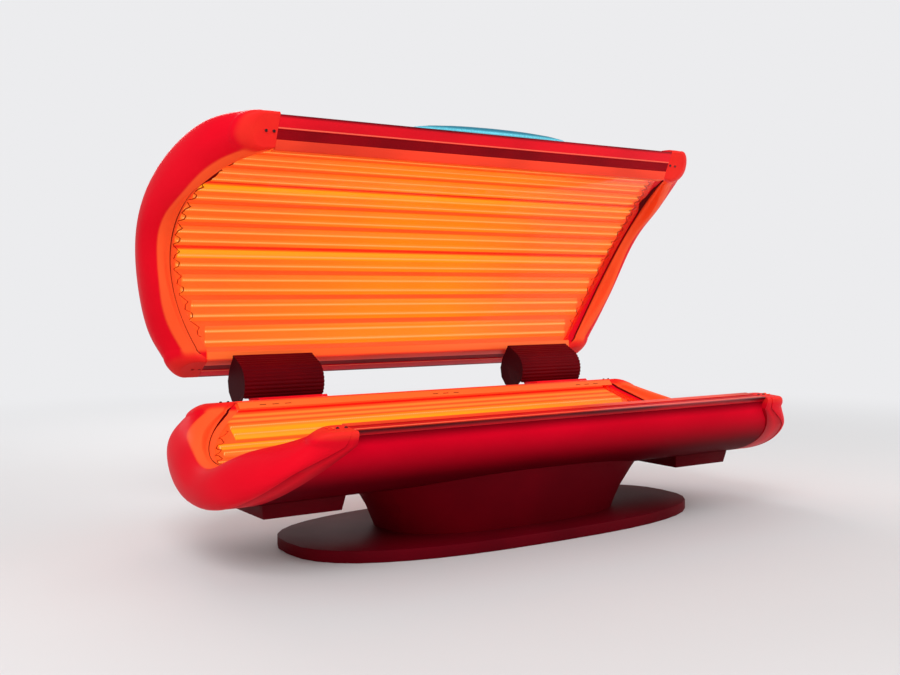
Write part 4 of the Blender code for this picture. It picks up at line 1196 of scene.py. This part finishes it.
        def wire(share: float, k: int) -> Vector:
            """Point of the wire's skin.

            Args:
                share: How far along the wire.
                k: Number of the point round it.

            Returns:
                The point.
            """
            number = 1 + share * (trough.boards - 1)
            phase = 2 * math.pi * number
            offset = self.wire_offset + self.wire_ripple * math.cos(3 * phase)
            t = (self.board_turn(number) - trough.mid) / (trough.half + trough.lean_rate * offset)
            loop = self.wire_loop * math.sin(2 * phase) + self.wire_ripple * math.sin(5 * phase)
            turn = 2 * math.pi * (k % sides) / sides
            spot = trough.yz(t, offset + radius * math.sin(turn))
            reach = trough.end_x(t) - self.wire_margin + loop
            return Vector((side.value * (reach + radius * math.cos(turn)), spot.x, spot.y))

        spans = 16 * (trough.boards - 1)
        self.place(f"{trough.name}_harness_{side.name.lower()}", wrapped(spans, sides, wire), WIRE_SLEEVE)

    def rail(self, label: str, edge: int, finish: Finish) -> None:
        """Grooved edge channel with softened corners, mapped across its face, and its strip.

        Args:
            label: Which rail, front or rear.
            edge: Edge of the trough that it closes, -1 or 1.
            finish: Finish of the channel.
        """
        node = f"{self.trough.name}_{label}_rail"
        inner, across, inward = self.trough.edge(edge)
        bm = node_mesh(node)
        soften(bm, self.rail_round, 3)
        along = bm.verts.layers.float.new("along")
        depth = bm.verts.layers.float.new("depth")
        for vert in bm.verts:
            spot = Vector((vert.co.y, vert.co.z)) - inner
            vert[along] = spot.dot(across)
            vert[depth] = spot.dot(inward)
        self.place(f"{node}_dressed", bm, finish, [node])
        self.paint(f"{self.trough.name}_{label}_strip", self.strip_finish)

    def board(self, number: int) -> None:
        """LED board with its rows mapped across it.

        Args:
            number: Number of the board.
        """
        trough = self.trough
        node = f"{trough.name}_led_board_{number}"
        bm = node_mesh(node)
        middle = sum((vert.co for vert in bm.verts), Vector()) / len(bm.verts)
        arm = Vector((middle.y, middle.z)) - Vector(trough.centre)
        sideways = Vector((-arm.y, arm.x)).normalized()
        across = bm.verts.layers.float.new("across")
        for vert in bm.verts:
            vert[across] = (Vector((vert.co.y, vert.co.z)) - Vector(trough.centre)).dot(sideways)
        self.place(f"{node}_dressed", bm, self.amber_boards.get(number, RED_BOARD), [node])

    def build(self, rail_finish: Finish) -> None:
        """Make every piece of the trough.

        Args:
            rail_finish: Finish of its rails.
        """
        name = self.trough.name
        for side in Side:
            self.end_cap(side)
            self.cap_screws(side)
            self.end_shadow_bead(side)
            self.harness(side)
        self.rail("front", self.trough.front, rail_finish)
        self.rail("rear", -self.trough.front, rail_finish)
        self.refine(f"{name}_acrylic", CLEAR_SHEET)
        # Reflector tray: orange tint and glow painted from the boards' light, painted shade in the gaps,
        # painted reflections of diode rows.
        tray = TrayFinish(
            f"{name}_tray", Slot.TRAY, 0.36, colour=tone(226, 70, 36), glow=tone(250, 92, 40),
            dark=tone(150, 8, 18), centre=self.trough.centre,
            gaps=tuple(self.board_turn(gap) for gap in self.dark_gaps),
            mirrored=tuple(self.board_turn(image) for image in self.mirror_rows), row=tone(255, 158, 62))
        self.refine(f"{name}_reflector", tray)
        for number in range(1, self.trough.boards + 1):
            self.board(number)


@dataclass
class BedShell(TroughShell):
    """Lower trough with its pans and air boxes."""

    slot_depth: float = 0.022
    slot_pitch: float = 0.050
    slot_length: float = 0.026
    slot_height: float = 0.0030
    slot_thick: float = 0.0008
    slot_proud: float = 0.0004
    slot_round: float = 0.0008
    slot_groups: tuple[float, ...] = (-0.742, 0.0, 0.742)
    ring_reach: float = 0.064
    ring_radius: float = 0.012
    ring_half_width: float = 0.0026
    ring_height: float = 0.0022
    ring_place: float = 0.45
    ring_start: float = 40.0
    ring_sweep: float = 280.0
    box_round: float = 0.004
    lit_zone: tuple[float, float] = (-0.70, -0.30)
    low_share: float = 0.8
    low_zone: tuple[float, float] = (-0.10, 0.35)

    def lit_share(self, t: float) -> float:
        """The front of a bed cap lies outside the canopy's light."""
        return ease(*self.lit_zone, t)

    def edge_share(self, t: float) -> float:
        """The lip's inner edge lies low along the rear of the bed."""
        return 1 - self.low_share * ease(*self.low_zone, t)

    def rail_slots(self) -> None:
        """Short dark pieces down the inner leg of the rear rail, in groups of three: painted shade of its
        slots' openings.
        """
        inner, _, inward = self.trough.edge(-self.trough.front)
        bm = bmesh.new()
        middle = inner + inward * self.slot_depth
        proud = abs(inward.y) * self.slot_proud
        size = Matrix.Diagonal((self.slot_length, self.slot_thick, self.slot_height, 1.0))
        for group in self.slot_groups:
            for step in (-1, 0, 1):
                spot = Matrix.Translation((group + step * self.slot_pitch, middle.x - proud, middle.y))
                bmesh.ops.create_cube(bm, size=1.0, matrix=spot @ size)
        soften(bm, self.slot_round)
        self.place("bed_rail_slots", bm, SHADE_FILL)

    def tip_ring(self, side: Side) -> None:
        """Raised open ring on the front tip of an end cap, in lit coral as a painted highlight.

        Args:
            side: End of the trough.
        """
        trough, sides = self.trough, 8
        inner, across, inward = trough.edge(trough.front)
        middle = inner + across * (self.ring_place * trough.edge_width())
        centre = Vector((side.value * (trough.tip + self.ring_reach), middle.x, middle.y))
        ahead, sideways = Vector((side.value, 0.0, 0.0)), Vector((0.0, across.x, across.y))
        rise = Vector((0.0, -inward.x, -inward.y))

        def ridge(share: float, k: int) -> Vector:
            """Point of the ring's skin.

            Args:
                share: How far along the ring.
                k: Number of the point round it.

            Returns:
                The point.
            """
            sweep = math.radians(self.ring_start + self.ring_sweep * share)
            turn = 2 * math.pi * (k % sides) / sides
            spoke = ahead * math.cos(sweep) + sideways * math.sin(sweep)
            reach = self.ring_radius + self.ring_half_width * math.cos(turn)
            return centre + spoke * reach + rise * (self.ring_height * math.sin(turn))

        self.place(f"bed_tip_ring_{side.name.lower()}", wrapped(40, sides, ridge), RING_HIGHLIGHT)

    def build(self, rail_finish: Finish) -> None:
        """Make the trough and the pieces under it.

        Args:
            rail_finish: Finish of its rails.
        """
        super().build(rail_finish)
        self.rail_slots()
        for side in Side:
            self.tip_ring(side)
        for label in ("front", "rear"):
            self.refine(f"belly_pan_{label}", PAN_SHELL)
        for label in ("left", "right"):
            self.refine(f"air_box_{label}", BOX_SHELL, self.box_round)
            self.refine(f"fan_frame_{label}", FAN_PLASTIC)
            self.refine(f"fan_rotor_{label}", FAN_PLASTIC, body=f"fan_rotor_{label}")
        self.paint("bed_frame", FRAME_STEEL)


@dataclass
class CanopyShell(TroughShell):
    """Upper trough with its cover and accent lens."""

    def build(self, rail_finish: Finish) -> None:
        """Make the trough and the pieces on its back.

        Args:
            rail_finish: Finish of its rails.
        """
        super().build(rail_finish)
        self.refine("canopy_cover", CANOPY_SHELL)
        self.refine("accent_lens", CYAN_LENS)


@dataclass
class Stand(Assembly):
    """Floor plate, pedestal and the driver inside."""

    def build(self) -> None:
        """Make the stand."""
        self.refine("base_plate", BASE_SHELL)
        self.refine("pedestal", PEDESTAL_SHELL)
        self.paint("led_driver", DRIVER_CASE)


@dataclass
class HingeSet(Assembly):
    """Hinges, covers and gas springs of both sides."""

    edge_round: float = 0.0012
    pin_round: float = 0.001
    foot_round: float = 0.0010
    hinge_x: float = 0.645
    foot_place: tuple[float, float] = (0.4795, 0.4768)
    foot_size: tuple[float, float, float] = (0.320, 0.0080, 0.0046)

    def foot_shadow_strip(self, side: Side) -> None:
        """Dark strip between a hinge cover's foot and the plate it stands on, as painted shadow of the gap
        there.

        Args:
            side: End of the bed.
        """
        bm = bmesh.new()
        spot = Matrix.Translation((side.value * self.hinge_x, *self.foot_place))
        bmesh.ops.create_cube(bm, size=1.0, matrix=spot @ Matrix.Diagonal((*self.foot_size, 1.0)))
        soften(bm, self.foot_round)
        self.place(f"hinge_foot_seal_{side.name.lower()}", bm, SHADE_FILL)

    def cover(self, node: str) -> None:
        """Ribbed hinge cover with darker cheeks.

        Args:
            node: Name of the cover's solid.
        """
        bm = node_mesh(node)
        bm.normal_update()
        under = bm.faces.layers.float.new("under")
        for face in bm.faces:
            face[under] = 1.0 if abs(face.normal.x) > 0.9 else 0.0
        self.place(f"{node}_dressed", bm, DRUM_PLASTIC, [node])

    def build(self) -> None:
        """Make both hinges."""
        for side in Side:
            label = side.name.lower()
            self.foot_shadow_strip(side)
            self.refine(f"hinge_bracket_{label}", BRACKET_PAINT, self.edge_round)
            self.refine(f"hinge_pin_{label}", PIN_STEEL, self.pin_round)
            self.cover(f"hinge_cover_{label}")
            self.refine(f"hinge_yoke_{label}", BRACKET_PAINT, self.edge_round, body="canopy")
            self.refine(f"gas_cylinder_{label}", SPRING_PAINT)
            self.refine(f"gas_rod_{label}", ROD_CHROME, body=f"gas_rod_{label}")


@dataclass
class Studio:
    """Floor, light and camera."""

    camera_place: tuple[float, float, float] = (-2.439, -3.300, 0.878)
    camera_yaw: float = 34.0
    camera_drop: float = 2.5
    focal_pixels: float = 1100.0
    frame_pixels: float = 900.0
    sensor_width: float = 36.0
    floor_radius: float = 16.0
    background: Colour = field(default_factory=lambda: tone(236, 236, 238))

    def floor(self) -> None:
        """Round pale floor."""
        bm = bmesh.new()
        bmesh.ops.create_circle(bm, cap_ends=True, segments=96, radius=self.floor_radius)
        mesh = bpy.data.meshes.new("studio_floor")
        bm.to_mesh(mesh)
        bm.free()
        finish = FloorFinish("studio_floor", Slot.BASE, 0.75, (0.69, 0.69, 0.70), self.background)
        mesh.materials.append(finish.material())
        item = bpy.data.objects.new("studio_floor", mesh)
        bpy.context.scene.collection.objects.link(item)

    def world(self) -> None:
        """Even light from all round, shown as the pale background."""
        world = bpy.data.worlds.new("studio")
        bpy.context.scene.world = world
        world.use_nodes = True
        graph = Graph(world.node_tree)
        ray = graph.node("ShaderNodeLightPath")
        seen = Signal(graph, ray.outputs["Is Camera Ray"])
        seen = seen + Signal(graph, ray.outputs["Is Transmission Ray"])
        light = graph.node("ShaderNodeBackground", {}, {"Color": (1.0, 0.98, 0.97), "Strength": 0.55})
        shown = graph.node("ShaderNodeBackground", {}, {"Color": self.background, "Strength": 1.0})
        both = graph.node("ShaderNodeMixShader", {}, {
            0: seen, 1: light.outputs[0], 2: shown.outputs[0]})
        graph.node("ShaderNodeOutputWorld", {}, {"Surface": both.outputs[0]})

    def lamp(self, name: str, place: Sequence[float], aim: Sequence[float], size: float,
             power: float) -> None:
        """Square soft lamp.

        Args:
            name: Name of the lamp.
            place: Where it stands.
            aim: Point it looks at.
            size: Side of its square, in metres.
            power: Power in watts.
        """
        data = bpy.data.lights.new(name, "AREA")
        data.size = size
        data.energy = power
        item = bpy.data.objects.new(name, data)
        item.location = place
        item.rotation_euler = (Vector(aim) - Vector(place)).to_track_quat("-Z", "Y").to_euler()
        bpy.context.scene.collection.objects.link(item)

    def camera(self) -> None:
        """Camera at the photograph's place, angle and frame."""
        data = bpy.data.cameras.new("view")
        data.sensor_fit = "HORIZONTAL"
        data.sensor_width = self.sensor_width
        data.lens = self.sensor_width * self.focal_pixels / self.frame_pixels
        item = bpy.data.objects.new("view", data)
        item.location = self.camera_place
        item.rotation_euler = (math.radians(90 - self.camera_drop), 0.0, math.radians(-self.camera_yaw))
        bpy.context.scene.collection.objects.link(item)
        bpy.context.scene.camera = item

    def build(self) -> None:
        """Make the studio."""
        self.camera()
        self.floor()
        self.world()
        self.lamp("key", (-3.2, -3.4, 4.2), aim=(0.0, 0.0, 0.6), size=3.0, power=190.0)
        self.lamp("fill", (3.8, -2.6, 2.6), aim=(0.0, 0.0, 0.7), size=3.0, power=80.0)
        self.lamp("back", (0.5, 4.2, 3.4), aim=(0.0, 0.2, 0.9), size=3.0, power=110.0)
        bpy.context.scene.view_settings.view_transform = "Standard"


def main() -> None:
    """Dress the bed from the studio inwards."""
    logging.basicConfig(level=logging.INFO, format="%(name)s %(message)s")
    Studio().build()
    Stand("bed").build()
    for shell in (
            BedShell("bed", BED, BED_CAP, amber_boards={7: AMBER_ROW_BOARD, 8: AMBER_LOW_BOARD},
                     dark_gaps=(5.5, 9.0), shadow_crescents=((0.16, 0.007), (0.86, 0.004)), lit_edge=0.60,
                     rim_drop=0.45, ledge=(0.014, 0.050), shine_half=0.0040, mirror_rows=(8.58, 8.80),
                     strip_finish=LIT_BED_STRIP),
            CanopyShell("canopy", CANOPY, CANOPY_CAP, amber_boards={4: AMBER_ROW_BOARD, 7: AMBER_ROW_BOARD},
                        dark_gaps=(4.5, 7.5), shadow_crescents=((0.50, 0.015), (0.70, 0.007)), lit_edge=0.55,
                        rim_drop=0.15, ledge=(0.010, 0.050), shine_half=0.0012, mirror_rows=(),
                        strip_finish=STRIP_GLOSS)):
        groove_end = shell.groove_start + shell.groove_width
        # Rail colours: the rail's own red outside, then painted light in coral, a painted highlight and
        # painted shade in maroon.
        rail_finish = RailFinish(
            f"{shell.trough.name}_rail", Slot.RAIL, 0.36, outer=tone(236, 16, 36), inner=tone(255, 72, 44),
            dark=SHADE_MAROON, bright=tone(255, 120, 90), leg=tone(255, 112, 48),
            groove=shell.groove_start + shell.groove_width / 2,
            shine=groove_end + shell.shine_gap + shell.shine_half, shine_half=shell.shine_half,
            width=shell.trough.edge_width())
        shell.build(rail_finish)
    HingeSet("bed").build()


if __name__ == "__main__":
    main()
